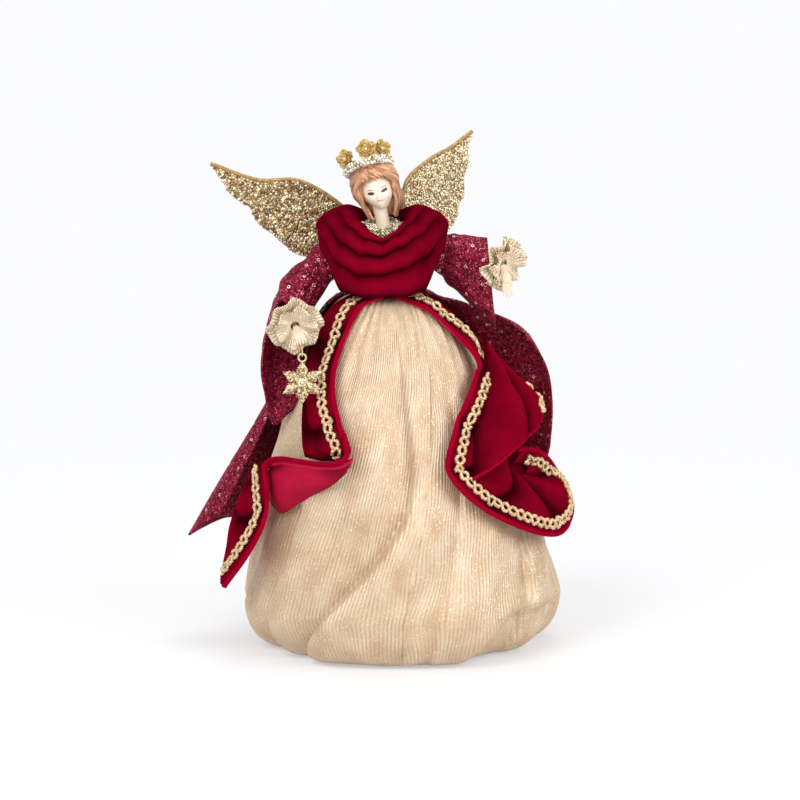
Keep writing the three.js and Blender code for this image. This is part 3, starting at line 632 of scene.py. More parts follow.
class Effects:
    """Builds each shared effect once."""

    _built: dict[Effect, bpy.types.NodeTree] = {}

    @classmethod
    def tree(cls, effect: Effect) -> bpy.types.NodeTree:
        """The node group of an effect, built on its first use.

        Args:
            effect: which effect it is.

        Returns:
            The node group.
        """
        if effect not in cls._built:
            builders = {Effect.MOTTLE: cls._mottle, Effect.SPARKLE: cls._sparkle, Effect.PILE: cls._pile}
            cls._built[effect] = builders[effect]()
        return cls._built[effect]

    @staticmethod
    def _start(effect: Effect, inputs: dict[str, float], outputs: dict[str, str]) -> tuple[Tree, Sequence]:
        """Starts a group.

        Args:
            effect: which effect it is.
            inputs: the number inputs and their usual values.
            outputs: the outputs and the kind of value they give.

        Returns:
            The tree, and the sockets that bring in the inputs.
        """
        group = bpy.data.node_groups.new(effect.value, "ShaderNodeTree")
        for name, value in inputs.items():
            socket = group.interface.new_socket(name, in_out="INPUT", socket_type="NodeSocketFloat")
            socket.default_value = value
        for name, kind in outputs.items():
            group.interface.new_socket(name, in_out="OUTPUT", socket_type=f"NodeSocket{kind}")
        tree = Tree(group)
        return tree, tree.node("NodeGroupInput").outputs

    @classmethod
    def _mottle(cls) -> bpy.types.NodeTree:
        """A soft uneven mask, as where pile or dye lies unevenly.

        Returns:
            The node group.
        """
        tree, given = cls._start(Effect.MOTTLE, {"Scale": 100.0, "Contrast": 2.0}, {"Mask": "Float"})
        centred = tree.maths("SUBTRACT", tree.noise(given["Scale"], 3.0), 0.5)
        settings = {"operation": "MULTIPLY_ADD", "use_clamp": True}
        spread = tree.node("ShaderNodeMath", settings, n0=centred, n1=given["Contrast"], n2=0.5)
        tree.node("NodeGroupOutput", None, Mask=spread.outputs[0])
        return tree.tree

    @classmethod
    def _sparkle(cls) -> bpy.types.NodeTree:
        """Small facets, each turned its own way, and a random mask of the facets that get a painted glint.

        Returns:
            The node group.
        """
        inputs = {"Scale": 900.0, "Share": 0.2, "Tilt": 0.6}
        tree, given = cls._start(Effect.SPARKLE, inputs, {"Mask": "Float", "Normal": "Vector"})
        place = tree.node("ShaderNodeTexCoord").outputs["Object"]
        cells = tree.node("ShaderNodeTexVoronoi", None, Vector=place, Scale=given["Scale"]).outputs["Color"]
        parts = tree.node("ShaderNodeSeparateColor", None, Color=cells)
        lit = tree.maths("LESS_THAN", parts.outputs[0], given["Share"])
        centred = tree.vectors("SUBTRACT", n0=cells, n1=(0.5, 0.5, 0.5))
        turned = tree.vectors("SCALE", n0=centred, Scale=given["Tilt"])
        normal = tree.node("ShaderNodeNewGeometry").outputs["Normal"]
        whole = tree.vectors("NORMALIZE", n0=tree.vectors("ADD", n0=normal, n1=turned))
        tree.node("NodeGroupOutput", None, Mask=lit, Normal=whole)
        return tree.tree

    @classmethod
    def _pile(cls) -> bpy.types.NodeTree:
        """The fine unevenness of pile, fibre or card, as a height.

        Returns:
            The node group.
        """
        tree, given = cls._start(Effect.PILE, {"Scale": 3000.0}, {"Height": "Float"})
        tree.node("NodeGroupOutput", None, Height=tree.noise(given["Scale"], 2.0))
        return tree.tree


@dataclass(frozen=True)
class Finish:
    """A finish: two colours that mix over the surface, and how it takes light.

    Fields:
        name: the material's name.
        low, high: screen colours that the mask mixes.
        roughness, metallic: as on the shader.
        mottle: scale and contrast of the uneven mask, or None for a mask of the points' shade alone.
        shade_share: the share of the points' shade in the mask.
        spark: scale, share and tilt of facets that shine as metal and whose colour is a painted glint, or None.
        painted_glint_colour: the facets' screen colour.
        pile: scale and depth in millimetres of the fine bump.
        sheen: weight, roughness and screen colour of the sheen, or None.
        coat: weight of a clear coat.
        specular: the shader's specular level.
    """

    SPARK_METAL: ClassVar[float] = 0.6
    BUMP_STRENGTH: ClassVar[float] = 0.6

    name: str
    low: Colour
    high: Colour
    roughness: float = 0.6
    metallic: float = 0.0
    mottle: Pair | None = (150.0, 2.0)
    shade_share: float = 0.0
    spark: Triple | None = None
    painted_glint_colour: Colour = (255, 255, 255)
    pile: Pair = (1500.0, 0.1)
    sheen: tuple[float, float, Colour] | None = None
    coat: float = 0.0
    specular: float = 0.5

    def _group(self, tree: Tree, effect: Effect, **inputs: float) -> Sequence:
        """Places a shared effect in the material with its own values, and gives its outputs.

        Args:
            tree: the tree to draw in.
            effect: which effect it is.
            inputs: its own values, by name.

        Returns:
            The group's outputs.
        """
        node = tree.node("ShaderNodeGroup", {"node_tree": Effects.tree(effect)})
        for key, value in inputs.items():
            node.inputs[key].default_value = value
        return node.outputs

    def _colour(self, tree: Tree) -> bpy.types.NodeSocket:
        """The mixed colour of the surface.

        Args:
            tree: the tree to draw in.

        Returns:
            The colour's socket.
        """
        mask = tree.shade()
        if self.mottle:
            scale, contrast = self.mottle
            uneven = self._group(tree, Effect.MOTTLE, Scale=scale, Contrast=contrast)["Mask"]
            inputs = {"n0": self.shade_share, "n2": uneven, "n3": mask}
            mask = tree.node("ShaderNodeMix", {"data_type": "FLOAT"}, **inputs).outputs[0]
        return tree.mix(mask, paint(*self.low), paint(*self.high))

    def material(self) -> bpy.types.Material:
        """The finish as a material, made on its first use.

        Returns:
            The material.
        """
        known = bpy.data.materials.get(self.name)
        if known:
            return known
        made = bpy.data.materials.new(self.name)
        tree = fresh_tree(made)
        inputs = {"Base_Color": self._colour(tree), "Metallic": self.metallic}
        scale, depth = self.pile
        height = self._group(tree, Effect.PILE, Scale=scale)["Height"]
        bump = {"Strength": self.BUMP_STRENGTH, "Distance": depth * MM, "Height": height}
        if self.spark:
            scale, share, tilt = self.spark
            facets = self._group(tree, Effect.SPARKLE, Scale=scale, Share=share, Tilt=tilt)
            # Painted glint: the masked facets' colour is mixed towards a pale glint colour; their metal shine
            # and tilted normals are real reflection.
            inputs["Base_Color"] = tree.mix(facets["Mask"], inputs["Base_Color"], paint(*self.painted_glint_colour))
            shine = tree.maths("MULTIPLY", facets["Mask"], self.SPARK_METAL)
            inputs["Metallic"] = tree.maths("MAXIMUM", shine, self.metallic)
            bump["Normal"] = facets["Normal"]
        if self.sheen:
            inputs["Sheen_Weight"], inputs["Sheen_Roughness"], tint = self.sheen
            inputs["Sheen_Tint"] = paint(*tint)
        inputs["Normal"] = tree.node("ShaderNodeBump", None, **bump).outputs[0]
        inputs |= {"Roughness": self.roughness, "Specular_IOR_Level": self.specular, "Coat_Weight": self.coat}
        shader = tree.node("ShaderNodeBsdfPrincipled", None, **inputs)
        tree.node("ShaderNodeOutputMaterial", {"is_active_output": True}, Surface=shader.outputs[0])
        return made


# The points' shade paints the velvet's light: painted shade in the creases, and a painted highlight on the
# rolls, the rolled edges and the binding.
VELVET = Finish(
    "pile_velvet", (18, 0, 4), (162, 6, 40), 0.9, mottle=(70.0, 2.0), shade_share=0.8, pile=(2600.0, 0.08),
    sheen=(0.3, 0.28, (232, 14, 56)), specular=0.0,
)
# On the flap's shown reverse the points' shade is painted shade in the creases, a painted highlight on the
# rolls and a painted shadow towards the tail.
CRIMSON = Finish(
    "crimson_reverse", (92, 2, 24), (222, 28, 74), 0.6, mottle=(60.0, 2.0), shade_share=0.7,
    pile=(2200.0, 0.06), sheen=(0.15, 0.3, (230, 40, 90)), specular=0.05,
)
SEQUIN_CLOTH = Finish(
    "sequin_cloth", (62, 4, 20), (150, 26, 55), 0.55, mottle=(420.0, 3.2), spark=(1900.0, 0.08, 0.5),
    painted_glint_colour=(214, 112, 132), pile=(1500.0, 0.2), sheen=(0.15, 0.3, (190, 30, 60)), specular=0.08,
)
SEQUIN = Finish(
    "ring_sequin", (226, 150, 160), (255, 236, 230), 0.18, 0.75, mottle=None, pile=(900.0, 0.03), coat=0.4,
)
# The points' shade is partly painted shade in the rib valleys and a painted highlight on the crests, partly
# colour that differs at random.
LAME = Finish(
    "crinkled_lame", (178, 136, 94), (226, 208, 180), 0.42, 0.18, mottle=(90.0, 1.6), shade_share=0.72,
    spark=(2300.0, 0.035, 0.3), painted_glint_colour=(255, 238, 204), pile=(2400.0, 0.1),
)
BRAID_GOLD = Finish(
    "chain_braid", (148, 96, 54), (252, 226, 182), 0.34, 0.4, mottle=(500.0, 2.4), shade_share=0.5,
    pile=(2600.0, 0.12),
)
GLITTER = Finish(
    "glitter_flake", (116, 80, 38), (255, 241, 202), 0.26, 0.5, mottle=None, pile=(1500.0, 0.04), coat=0.3,
)
GLITTER_GROUND = Finish(
    "glitter_ground", (118, 86, 44), (204, 168, 108), 0.4, 0.35, mottle=(700.0, 3.0), spark=(700.0, 0.3, 0.9),
    painted_glint_colour=(252, 236, 194), pile=(900.0, 0.3),
)
GOLD_WIRE = Finish(
    "wrapped_wire", (112, 82, 46), (190, 154, 98), 0.42, 0.5, mottle=(600.0, 2.0), pile=(1800.0, 0.1),
)
SKIN = Finish(
    "painted_skin", (226, 190, 160), (252, 234, 214), 0.38, mottle=(300.0, 1.2), pile=(900.0, 0.03), coat=0.1,
)
# The points' shade is random for each lock, with the cap and the back fall painted darker as the shade under
# the locks.
HAIR = Finish(
    "wig_fibre", (140, 84, 54), (236, 184, 142), 0.42, mottle=(260.0, 2.0), shade_share=0.75,
    pile=(2600.0, 0.15), sheen=(0.2, 0.3, (255, 220, 180)),
)
CRYSTAL = Finish(
    "clear_bead", (206, 198, 178), (253, 250, 244), 0.12, 0.25, mottle=None, pile=(600.0, 0.02), coat=0.8,
)
GREEN_GOLD = Finish(
    "green_gold_bead", (140, 126, 78), (246, 240, 212), 0.22, 0.45, mottle=None, pile=(900.0, 0.05), coat=0.4,
)
FLOWER = Finish(
    "gilt_petal", (158, 122, 58), (230, 200, 130), 0.38, 0.3, mottle=(500.0, 2.4), pile=(1400.0, 0.1),
)
# The points' shade paints the pleats: shade in their valleys, a highlight on their crests.
CUFF_GOLD = Finish(
    "pleated_gold", (190, 160, 122), (250, 236, 212), 0.45, 0.12, mottle=(400.0, 2.0), shade_share=0.7,
    spark=(900.0, 0.08, 0.4), painted_glint_colour=(255, 246, 226), pile=(2400.0, 0.1),
)
BODICE = Finish(
    "bodice_cloth", (44, 22, 28), (76, 40, 46), 0.7, pile=(2400.0, 0.15), sheen=(0.2, 0.4, (160, 90, 100)),
)
WADDING = Finish(
    "white_wadding", (226, 222, 212), (248, 246, 240), 0.95, mottle=(120.0, 2.0), pile=(700.0, 0.6),
)
CARD = Finish("grey_card", (184, 162, 124), (208, 188, 150), 0.85, mottle=(300.0, 1.6), pile=(1500.0, 0.08))
WOOD = Finish("turned_wood", (180, 144, 100), (214, 182, 136), 0.6, mottle=(180.0, 2.4), pile=(700.0, 0.1))
STEEL = Finish(
    "drawn_steel", (150, 150, 148), (186, 186, 182), 0.35, 0.9, mottle=(400.0, 1.6), pile=(2200.0, 0.04),
)
THREAD = Finish(
    "gold_thread", (190, 160, 104), (236, 214, 164), 0.4, 0.5, mottle=(900.0, 2.0), pile=(3000.0, 0.08),
)


def put(name: str, data: bpy.types.ID) -> bpy.types.Object:
    """A new object in the scene.

    Args:
        name: its name.
        data: its mesh, light or camera.

    Returns:
        The object.
    """
    made = bpy.data.objects.new(name, data)
    bpy.context.scene.collection.objects.link(made)
    return made


class Workshop:
    """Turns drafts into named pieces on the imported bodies."""

    @staticmethod
    def make(
        name: str,
        draft: Draft,
        finishes: Sequence[Finish],
        body: Body,
        slot: str,
        replaces: Sequence[str] = (),
    ) -> bpy.types.Object:
        """Makes a piece.

        Args:
            name: the piece's name.
            draft: its mesh.
            finishes: its materials, in the order of the draft's slot numbers.
            body: the body that it rides on.
            slot: the record's material slot; not used.
            replaces: the nodes that it stands for.

        Returns:
            The object.
        """
        mesh = draft.mesh(name)
        for finish in finishes:
            mesh.materials.append(finish.material())
        piece = put(name, mesh)
        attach(piece, body.value)
        if replaces:
            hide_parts(*replaces)
        LOG.info("%s: %d points on %s", name, len(mesh.vertices), body.value)
        return piece

    @staticmethod
    def dress(node: str, finish: Finish) -> None:
        """Gives a node that stays its finish.

        Args:
            node: the node's name.
            finish: its finish.
        """
        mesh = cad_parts[node].data
        mesh.materials.clear()
        mesh.materials.append(finish.material())
        LOG.info("%s: dressed", node)

    @staticmethod
    def cloth(piece: bpy.types.Object, flat: Pair, held: Held, *rests_on: str) -> None:
        """Takes a sheet of cloth, its flat width and length in millimetres and what it rests on, and does
        nothing with them.
        """


def ball_shape(around: int, down: int) -> Shape:
    """The points and faces of a small round bead of radius one.

    Args:
        around: points round it.
        down: rows of faces from its top to its bottom.

    Returns:
        The points and the faces.
    """
    rise = np.linspace(0, np.pi, down + 1)[:, None]
    turn = full_turn(around)[None]
    parts = np.broadcast_arrays(np.sin(rise) * np.cos(turn), np.sin(rise) * np.sin(turn), np.cos(rise))
    return np.stack(parts, axis=-1).reshape(-1, 3), grid_faces(down + 1, around, tube=True)


def ring_shape(around: int = 10, bore: float = 0.42, height: float = 0.16) -> Shape:
    """The points and faces of a cupped ring sequin of radius one, facing z.

    Args:
        around: points round it.
        bore: the hole's radius.
        height: the height of its crest.

    Returns:
        The points and the faces.
    """
    turn = full_turn(around)
    profile = [(1.0, 0.0), (0.72, height), (bore, height * 0.4), (0.72, -0.02)]
    grid = np.stack([np.stack([r * np.cos(turn), r * np.sin(turn), 0 * turn + z], 1) for r, z in profile])
    faces = grid_faces(len(profile), around, True, True)
    return grid.reshape(-1, 3), faces[:, [0, 3, 2, 1]]


def facing_out(grid: Points, centre: Points, ring: bool) -> Points:
    """The grid, with its first index turned round where its normals point towards the centre."""
    outward = np.sum(grid_normals(grid, ring) * unit(grid - centre))
    return grid if outward > 0 else grid[::-1]


def ripple(u: Points, v: Points, seed: int, waves: int = 7, reach: float = 6.0) -> Points:
    """A smooth uneven surface, about -1 to 1 high, over two coordinates.

    Args:
        u: the first coordinate.
        v: the second coordinate.
        seed: the seed of the waves.
        waves: how many waves are added up.
        reach: the most turns that a wave makes over a length of one.

    Returns:
        The heights.
    """
    chance = np.random.default_rng(seed)
    total = np.zeros(np.broadcast(u, v).shape)
    for _ in range(waves):
        turn, lean = chance.uniform(0, 2 * np.pi, 2)
        pace = chance.uniform(0.35, 1.0) * reach
        total += np.sin(2 * np.pi * pace * (u * np.cos(lean) + v * np.sin(lean)) + turn)
    return total / waves**0.5 / 1.4


def rolls(turns: Points) -> Points:
    """Plump rolls that overhang the creases between them, one for each whole turn, from -0.6 to 0.4."""
    part = np.asarray(turns, float) % 1
    return 2.15 * part**0.8 * (1 - part) ** 0.4 - 0.6


@dataclass(frozen=True)
class Fold:
    """A fold of the skirt: its angle at the hem, its twist, its depth, its width and the twist's height."""

    hem_angle: float
    twist: float
    depth: float
    width: float = 17.0
    sweep: float = 206.0


@dataclass
class SkirtForm:
    """The bell form of the skirt, which the velvet and the robe stand off."""

    waist_height: float = 206.0
    waist_radius: float = 17.0
    hem_radius: float = 92.0
    bulge_height: float = 28.0
    swell: float = 0.55
    lean: float = -11.0
    arch: tuple[float, float, float] = (46.0, 17.0, 1.0)
    swag: tuple[float, float, float, float] = (22.0, 100.0, 3.0, 30.0)
    swag_depth: float = 8.0
    swag_rise: float = 26.0
    swag_ends: Pair = (12.0, 16.0)
    swag_edge: Pair = (-1.5, 3.0)
    lip_height: float = 5.0
    tuck_at: float = -0.08
    tuck_rise: float = 2.6
    tuck_step: float = 0.1
    tuck_depth: float = 1.35
    roundness: float = 2.2
    crest_start: Pair = (-0.16, 0.12)
    folds: tuple[Fold, ...] = (
        Fold(-49, 58, 7.4, 15, 112),
        Fold(-62, 18, 6.4, 12, 112),
        Fold(-92, 58, 4.0),
        Fold(8, 30, 2.6, 16, 150),
        Fold(50, 34, 4.2),
        Fold(88, 34, 1.6),
        Fold(124, 40, 4.0),
        Fold(160, 40, 3.6),
        Fold(198, 40, 4.2),
        Fold(238, 46, 3.6),
    )

    def radius(self, z: Points) -> Points:
        """The skirt's radius at a height.

        Args:
            z: heights.

        Returns:
            The radii off the skirt's middle.
        """
        fall = self.waist_height - np.asarray(z, float)
        drop = np.clip(fall / (self.waist_height - self.bulge_height), 0, 1)
        return self.waist_radius + (self.hem_radius - self.waist_radius) * drop**self.swell

    def axis(self, z: Points) -> Points:
        """How far the skirt's middle leans at a height."""
        return self.lean * np.asarray(z, float) / self.waist_height

    def fold_depth(self, angle: Points, z: Points) -> Points:
        """How far the folds push the cloth out, with each valley pulled in close under its crest as a tuck.

        Args:
            angle: degrees from the front towards +X.
            z: heights.

        Returns:
            The push, in millimetres.
        """
        rise = np.clip(np.asarray(z, float) / self.waist_height, 0, 1)
        strength = np.sin(np.pi * np.minimum(1, 0.22 + 0.78 * (1 - rise)) * 0.5) * (1 - rise**4)
        total = np.zeros(np.broadcast(angle, rise).shape)
        for fold in self.folds:
            crest_angle = fold.hem_angle + fold.twist * smoothstep(z, -0.2 * fold.sweep, fold.sweep)
            offset = angle_between(angle_between(angle, 0) - crest_angle, 0) / fold.width
            past = offset - self.tuck_at
            rising, falling = np.exp(past * self.tuck_rise), np.exp(-((past / self.tuck_step) ** 2))
            tuck = np.where(offset < self.tuck_at, rising, falling)
            valley = 0.5 * np.exp(-((offset + 0.5) ** 2) * self.roundness) + self.tuck_depth * tuck
            crest = 0.85 * np.exp(-((offset - 0.5) ** 2) * self.roundness)
            crest = crest * smoothstep(offset, *self.crest_start)
            total = total + fold.depth * strength * (0.6 * crest - 0.7 * valley)
        return total

    def overhang(self, angle: Points, z: Points) -> Points:
        """How far the cloth is drawn in below the swag that sweeps up over the hem at the doll's left.

        Args:
            angle: degrees from the front towards +X.
            z: heights.

        Returns:
            The push, in millimetres.
        """
        start, finish, low, high = self.swag
        turn = angle_between(angle, 0)
        line = low + (high - low) * smoothstep(turn, start, start + self.swag_rise)
        opening, closing = self.swag_ends
        window = smoothstep(turn, start, start + opening) * (1 - smoothstep(turn, finish - closing, finish))
        below = smoothstep(line - z, *self.swag_edge)
        lip = np.exp(-(((z - line - self.lip_height) / self.lip_height) ** 2))
        return window * (lip - self.swag_depth * below)

    def hem_lift(self, angle: Points) -> Points:
        """How far the hem is lifted into its arch."""
        middle, width, lift = self.arch
        return lift * np.exp(-((angle_between(angle, middle) / width) ** 2))

    def off(self, angle: Points, share: Points, standoff: Points) -> Points:
        """Places off the skirt.

        Args:
            angle: degrees from the front towards +X.
            share: height as a share of the waist height.
            standoff: distance off the plain bell.

        Returns:
            The places, one row each.
        """
        z = np.asarray(share, float) * self.waist_height
        return round_axis(np.radians(angle), self.radius(z) + standoff, z, self.axis(z))


@dataclass
class Skirt:
    """The crinkled skirt with its rolled hem, and the wadding inside it."""

    form: SkirtForm
    ribs: int = 250
    samples_per_rib: int = 4
    rib_height: float = 0.55
    rib_twist: float = 34.0
    rib_wander: float = 0.6
    rib_fade: Pair = (20.0, 48.0)
    lump_height: float = 0.9
    lump_fade: Pair = (4.0, 60.0)
    cloth: float = 0.7
    waist_share: float = 0.1
    waist_rows: int = 8
    wall_rows: int = 62
    roll_rows: int = 19
    roll_turn: float = 96.0
    hem_roll: float = 20.0
    hem_height: float = 1.1
    bulge_lift: float = 0.6
    tuck_radius: float = 61.0
    tuck_height: float = 3.0
    gathers: int = 34
    gather_height: float = 0.8
    gather_fade: Pair = (12.0, 70.0)
    flat: Pair = (600.0, 230.0)
    fill: float = 0.5
    fill_rings: tuple[Pair, ...] = (
        (0.05, 36.0), (0.1, 22.0), (0.17, 14.0), (0.28, 10.5), (0.4, 9.0), (0.5, 9.0), (0.6, 9.0), (0.7, 9.0)
    )
    fill_points: int = 96
    cone_foot: float = 48.6
    cone_taper: float = 37.0
    cone_height: float = 150.0

    def _columns(self) -> tuple[Points, Points]:
        """The skirt's surface from the waist over the rolled hem to the tuck, and a shade for each point,
        painted darker in the rib valleys and lighter on the crests.

        Returns:
            The points, round by down, and the shades.
        """
        form = self.form
        count = self.ribs * self.samples_per_rib
        base_angle = np.linspace(0, 360, count, endpoint=False)[:, None]
        waist = np.linspace(0, self.waist_share, self.waist_rows, endpoint=False)
        drops = np.concatenate([waist, np.linspace(self.waist_share, 1, self.wall_rows)])
        turns = np.radians(np.linspace(0, self.roll_turn, self.roll_rows + 1)[1:])
        angle_wall = base_angle + self.rib_twist * (1 - drops[None])
        bulge = form.bulge_height + self.bulge_lift * form.hem_lift(angle_wall)
        z_wall = form.waist_height - drops[None] * (form.waist_height - bulge)
        lift_hem = form.hem_lift(base_angle)
        bulge_hem = form.bulge_height + self.bulge_lift * lift_hem
        bottom = self.hem_height + lift_hem
        z_roll = bulge_hem - (bulge_hem - bottom) * np.sin(np.minimum(turns, np.pi / 2))[None]
        reach_roll = form.hem_radius - self.hem_roll * (1 - np.cos(turns))[None] + 0 * base_angle
        angle_roll = base_angle + 0 * turns[None]
        z = np.concatenate([z_wall, z_roll], axis=1)
        angle = np.concatenate([angle_wall + 0 * z_wall, angle_roll], axis=1)
        reach = np.concatenate([form.radius(z_wall), reach_roll], axis=1)
        u = base_angle / 360 + 0 * z
        v = np.linspace(0, 1, z.shape[1])[None] + 0 * z
        reach = reach + form.fold_depth(angle, z) + form.overhang(angle, z)
        below = form.waist_height - z
        lumps = self.lump_height * ripple(u * 2 + v * 0.25, v, Seed.SKIRT_FORM, 9, 9.0)
        reach = reach + lumps * smoothstep(below, *self.lump_fade)
        wander = self.rib_wander * ripple(u * 3, v, Seed.RIB_WANDER, 6, 7.0)
        rib_turn = 2 * np.pi * (self.ribs * u + wander)
        rib = np.abs(np.cos(rib_turn / 2)) ** 0.8
        fine = smoothstep(reach, *self.rib_fade)
        uneven = 0.75 + 0.35 * ripple(u * 4, v, Seed.RIB_HEIGHT, 8, 10.0)
        gather = np.cos(2 * np.pi * self.gathers * u + 3 * ripple(u * 2, v, Seed.GATHERS, 5, 4.0))
        gather = gather * (1 - smoothstep(below, *self.gather_fade))
        reach = reach + self.rib_height * fine * uneven * (rib - 0.5) * 2 + self.gather_height * gather
        grid = round_axis(np.radians(angle), reach, z, form.axis(z))
        tuck = round_axis(np.radians(base_angle), self.tuck_radius, self.tuck_height + lift_hem / 3)
        grid = np.concatenate([grid, tuck], axis=1)
        # Painted light on the ribs: the valleys darker as shade, the crests lighter as highlight, with a little
        # colour that differs at random.
        shade = np.clip(0.18 + 0.72 * rib * uneven + 0.12 * ripple(u * 5, v, Seed.SKIRT_TONE, 8, 14.0), 0, 1)
        shade = np.concatenate([shade, shade[:, -1:]], axis=1)
        return grid, shade

    def build(self) -> None:
        """Makes the skirt and its wadding."""
        grid, shade = self._columns()
        turned = facing_out(grid, np.array([0, 0, self.form.waist_height / 2]), True)
        if turned is not grid:
            shade = shade[::-1]
        draft = Draft()
        draft.cloth(turned, self.cloth, True, 0, 0, shade)
        skirt = Workshop.make("skirt_cloth", draft, [LAME], Body.FIGURE, "gold_lame", ["skirt"])
        Workshop.cloth(skirt, self.flat, Held.GATHERED, "skirt_wadding", "base_ring")
        self._wadding()

    def _wadding(self) -> None:
        """Makes the loose wadding that fills the skirt round the card cone."""
        form = self.form
        turn = full_turn(self.fill_points)
        loops = []
        for number, (share, inset) in enumerate(self.fill_rings):
            z = share * form.waist_height
            lumps = 1.2 * ripple(turn / (2 * np.pi), 0 * turn + number / 8, Seed.WADDING, 7, 9.0)
            reach = form.radius(z) - inset + np.minimum(lumps, 1.0)
            loops.append(round_axis(turn, reach, z, form.axis(z)))
        for share, _ in (self.fill_rings[-1], self.fill_rings[0]):
            z = share * form.waist_height
            loops.append(round_axis(turn, self.cone_foot - self.cone_taper * z / self.cone_height, z))
        draft = Draft()
        draft.grid(np.stack(loops, axis=1), True, tube=True, turned=True)
        wadding = Workshop.make("wadding_fill", draft, [WADDING], Body.FIGURE, "wadding", ["skirt_wadding"])


@dataclass
class Stand:
    """The hidden frame that carries the doll: nodes whose shape is right and that only need their finish."""

    finishes: dict[str, Finish] = field(
        default_factory=lambda: {
            "base_ring": CARD,
            "card_cone": CARD,
            "wing_plate": CARD,
            "cone_plug": WOOD,
            "armature_rod": STEEL,
            "right_arm_wire": STEEL,
            "left_arm_wire": STEEL,
        }
    )

    def dress(self) -> None:
        """Gives each node its finish."""
        for node, finish in self.finishes.items():
            Workshop.dress(node, finish)


@dataclass
class Bodice:
    """The stuffed torso under the cowl."""

    middle: Pair = (-12.0, 0.0)
    half_width: float = 16.0
    half_depth: float = 11.0
    bottom: float = 200.0
    length: float = 42.0
    profile: tuple[Pair, ...] = (
        (0.2, 0.0), (0.6, 0.0), (0.82, 0.01), (0.86, 0.25), (0.98, 0.6), (1.0, 0.82), (0.8, 0.96),
        (0.45, 1.0), (0.02, 1.0),
    )
    rows: int = 48
    around: int = 64
    darts: int = 8
    dart_depth: float = 0.012
    fill: float = 0.9

    def build(self) -> None:
        """Makes the torso with soft darts round it, open at its foot where the rod goes in."""
        shares = np.linspace(0, 1, self.rows)
        line = curve_at([(r, 0, z) for r, z in self.profile], shares)[None]
        turn = full_turn(self.around)[:, None]
        dart = 1 + self.dart_depth * np.cos(self.darts * turn) * np.sin(np.pi * shares)[None]
        x = self.middle[0] + self.half_width * line[..., 0] * dart * np.sin(turn)
        y = self.middle[1] - self.half_depth * line[..., 0] * dart * np.cos(turn)
        grid = np.stack([x, y, self.bottom + self.length * line[..., 2] + 0 * dart], axis=-1)
        draft = Draft()
        draft.grid(facing_out(grid, np.array([*self.middle, self.bottom + self.length / 2]), True), True)
        bodice = Workshop.make("bodice_form", draft, [BODICE], Body.FIGURE, "bodice", ["torso"])


TRIES_PER_PLACE = 2.2
NEAREST_SHARE = 0.72


def scatter(grid: Points, ring: bool, pitch: float, seed: int, margin: float = 0.03) -> tuple[Points, ...]:
    """Places spread evenly and at random over a grid of points.

    Args:
        grid: grid[i, j].
        ring: whether the first index wraps round.
        pitch: the usual distance between neighbours.
        seed: the seed of the spread.
        margin: the share of the second index that is left bare at each end.

    Returns:
        The places, the normals there and a random number for each.
    """
    chance = np.random.default_rng(seed)
    normals = grid_normals(grid, ring)
    if ring:
        grid = np.concatenate([grid, grid[:1]])
        normals = np.concatenate([normals, normals[:1]])
    edge_a = grid[1:, :-1] - grid[:-1, :-1]
    edge_b = grid[:-1, 1:] - grid[:-1, :-1]
    area = np.linalg.norm(np.cross(edge_a, edge_b), axis=-1)
    bare = int(round(margin * area.shape[1]))
    if bare:
        area[:, :bare] = 0
        area[:, -bare:] = 0
    count = int(area.sum() / pitch**2 * TRIES_PER_PLACE)
    cells = chance.choice(area.size, count, p=area.ravel() / area.sum())
    i, j = np.unravel_index(cells, area.shape)
    s, t = chance.uniform(0, 1, (2, count, 1))
    near_side = grid[i, j] * (1 - s) + grid[i + 1, j] * s
    far_side = grid[i, j + 1] * (1 - s) + grid[i + 1, j + 1] * s
    places = near_side * (1 - t) + far_side * t
    kept: list[int] = []
    taken: dict[tuple[int, int, int], list[int]] = {}
    near = NEAREST_SHARE * pitch
    for number, place in enumerate(places):
        x, y, z = (int(c) for c in np.floor(place / near))
        boxes = itertools.product((x - 1, x, x + 1), (y - 1, y, y + 1), (z - 1, z, z + 1))
        around = [other for box in boxes for other in taken.get(box, [])]
        if all(np.sum((places[other] - place) ** 2) > near**2 for other in around):
            taken.setdefault((x, y, z), []).append(number)
            kept.append(number)
    return places[kept], unit(normals[i, j][kept]), chance.uniform(0, 1, len(kept))


def sideways(normals: Points, chance: np.random.Generator, tilt: float, sizes: Pair) -> list[Points]:
    """Axes for small flat shapes on a surface.

    Args:
        normals: the surface's normals where they lie.
        chance: the source of their turns.
        tilt: how far they lean off the surface.
        sizes: their least and greatest radius.

    Returns:
        The three axes, with a row for each shape.
    """
    leaned = unit(normals + tilt * chance.normal(0, 1, normals.shape))
    other = unit(np.cross(leaned, chance.normal(0, 1, normals.shape)))
    size = chance.uniform(*sizes, (len(normals), 1))
    return [axis * size for axis in (other, np.cross(leaned, other), leaned)]


@dataclass(frozen=True)
class BraidRun:
    """A run of braid along a panel: its piece's name, its start and end, and the nodes it stands for."""

    name: str
    start: float
    end: float
    nodes: tuple[str, ...]


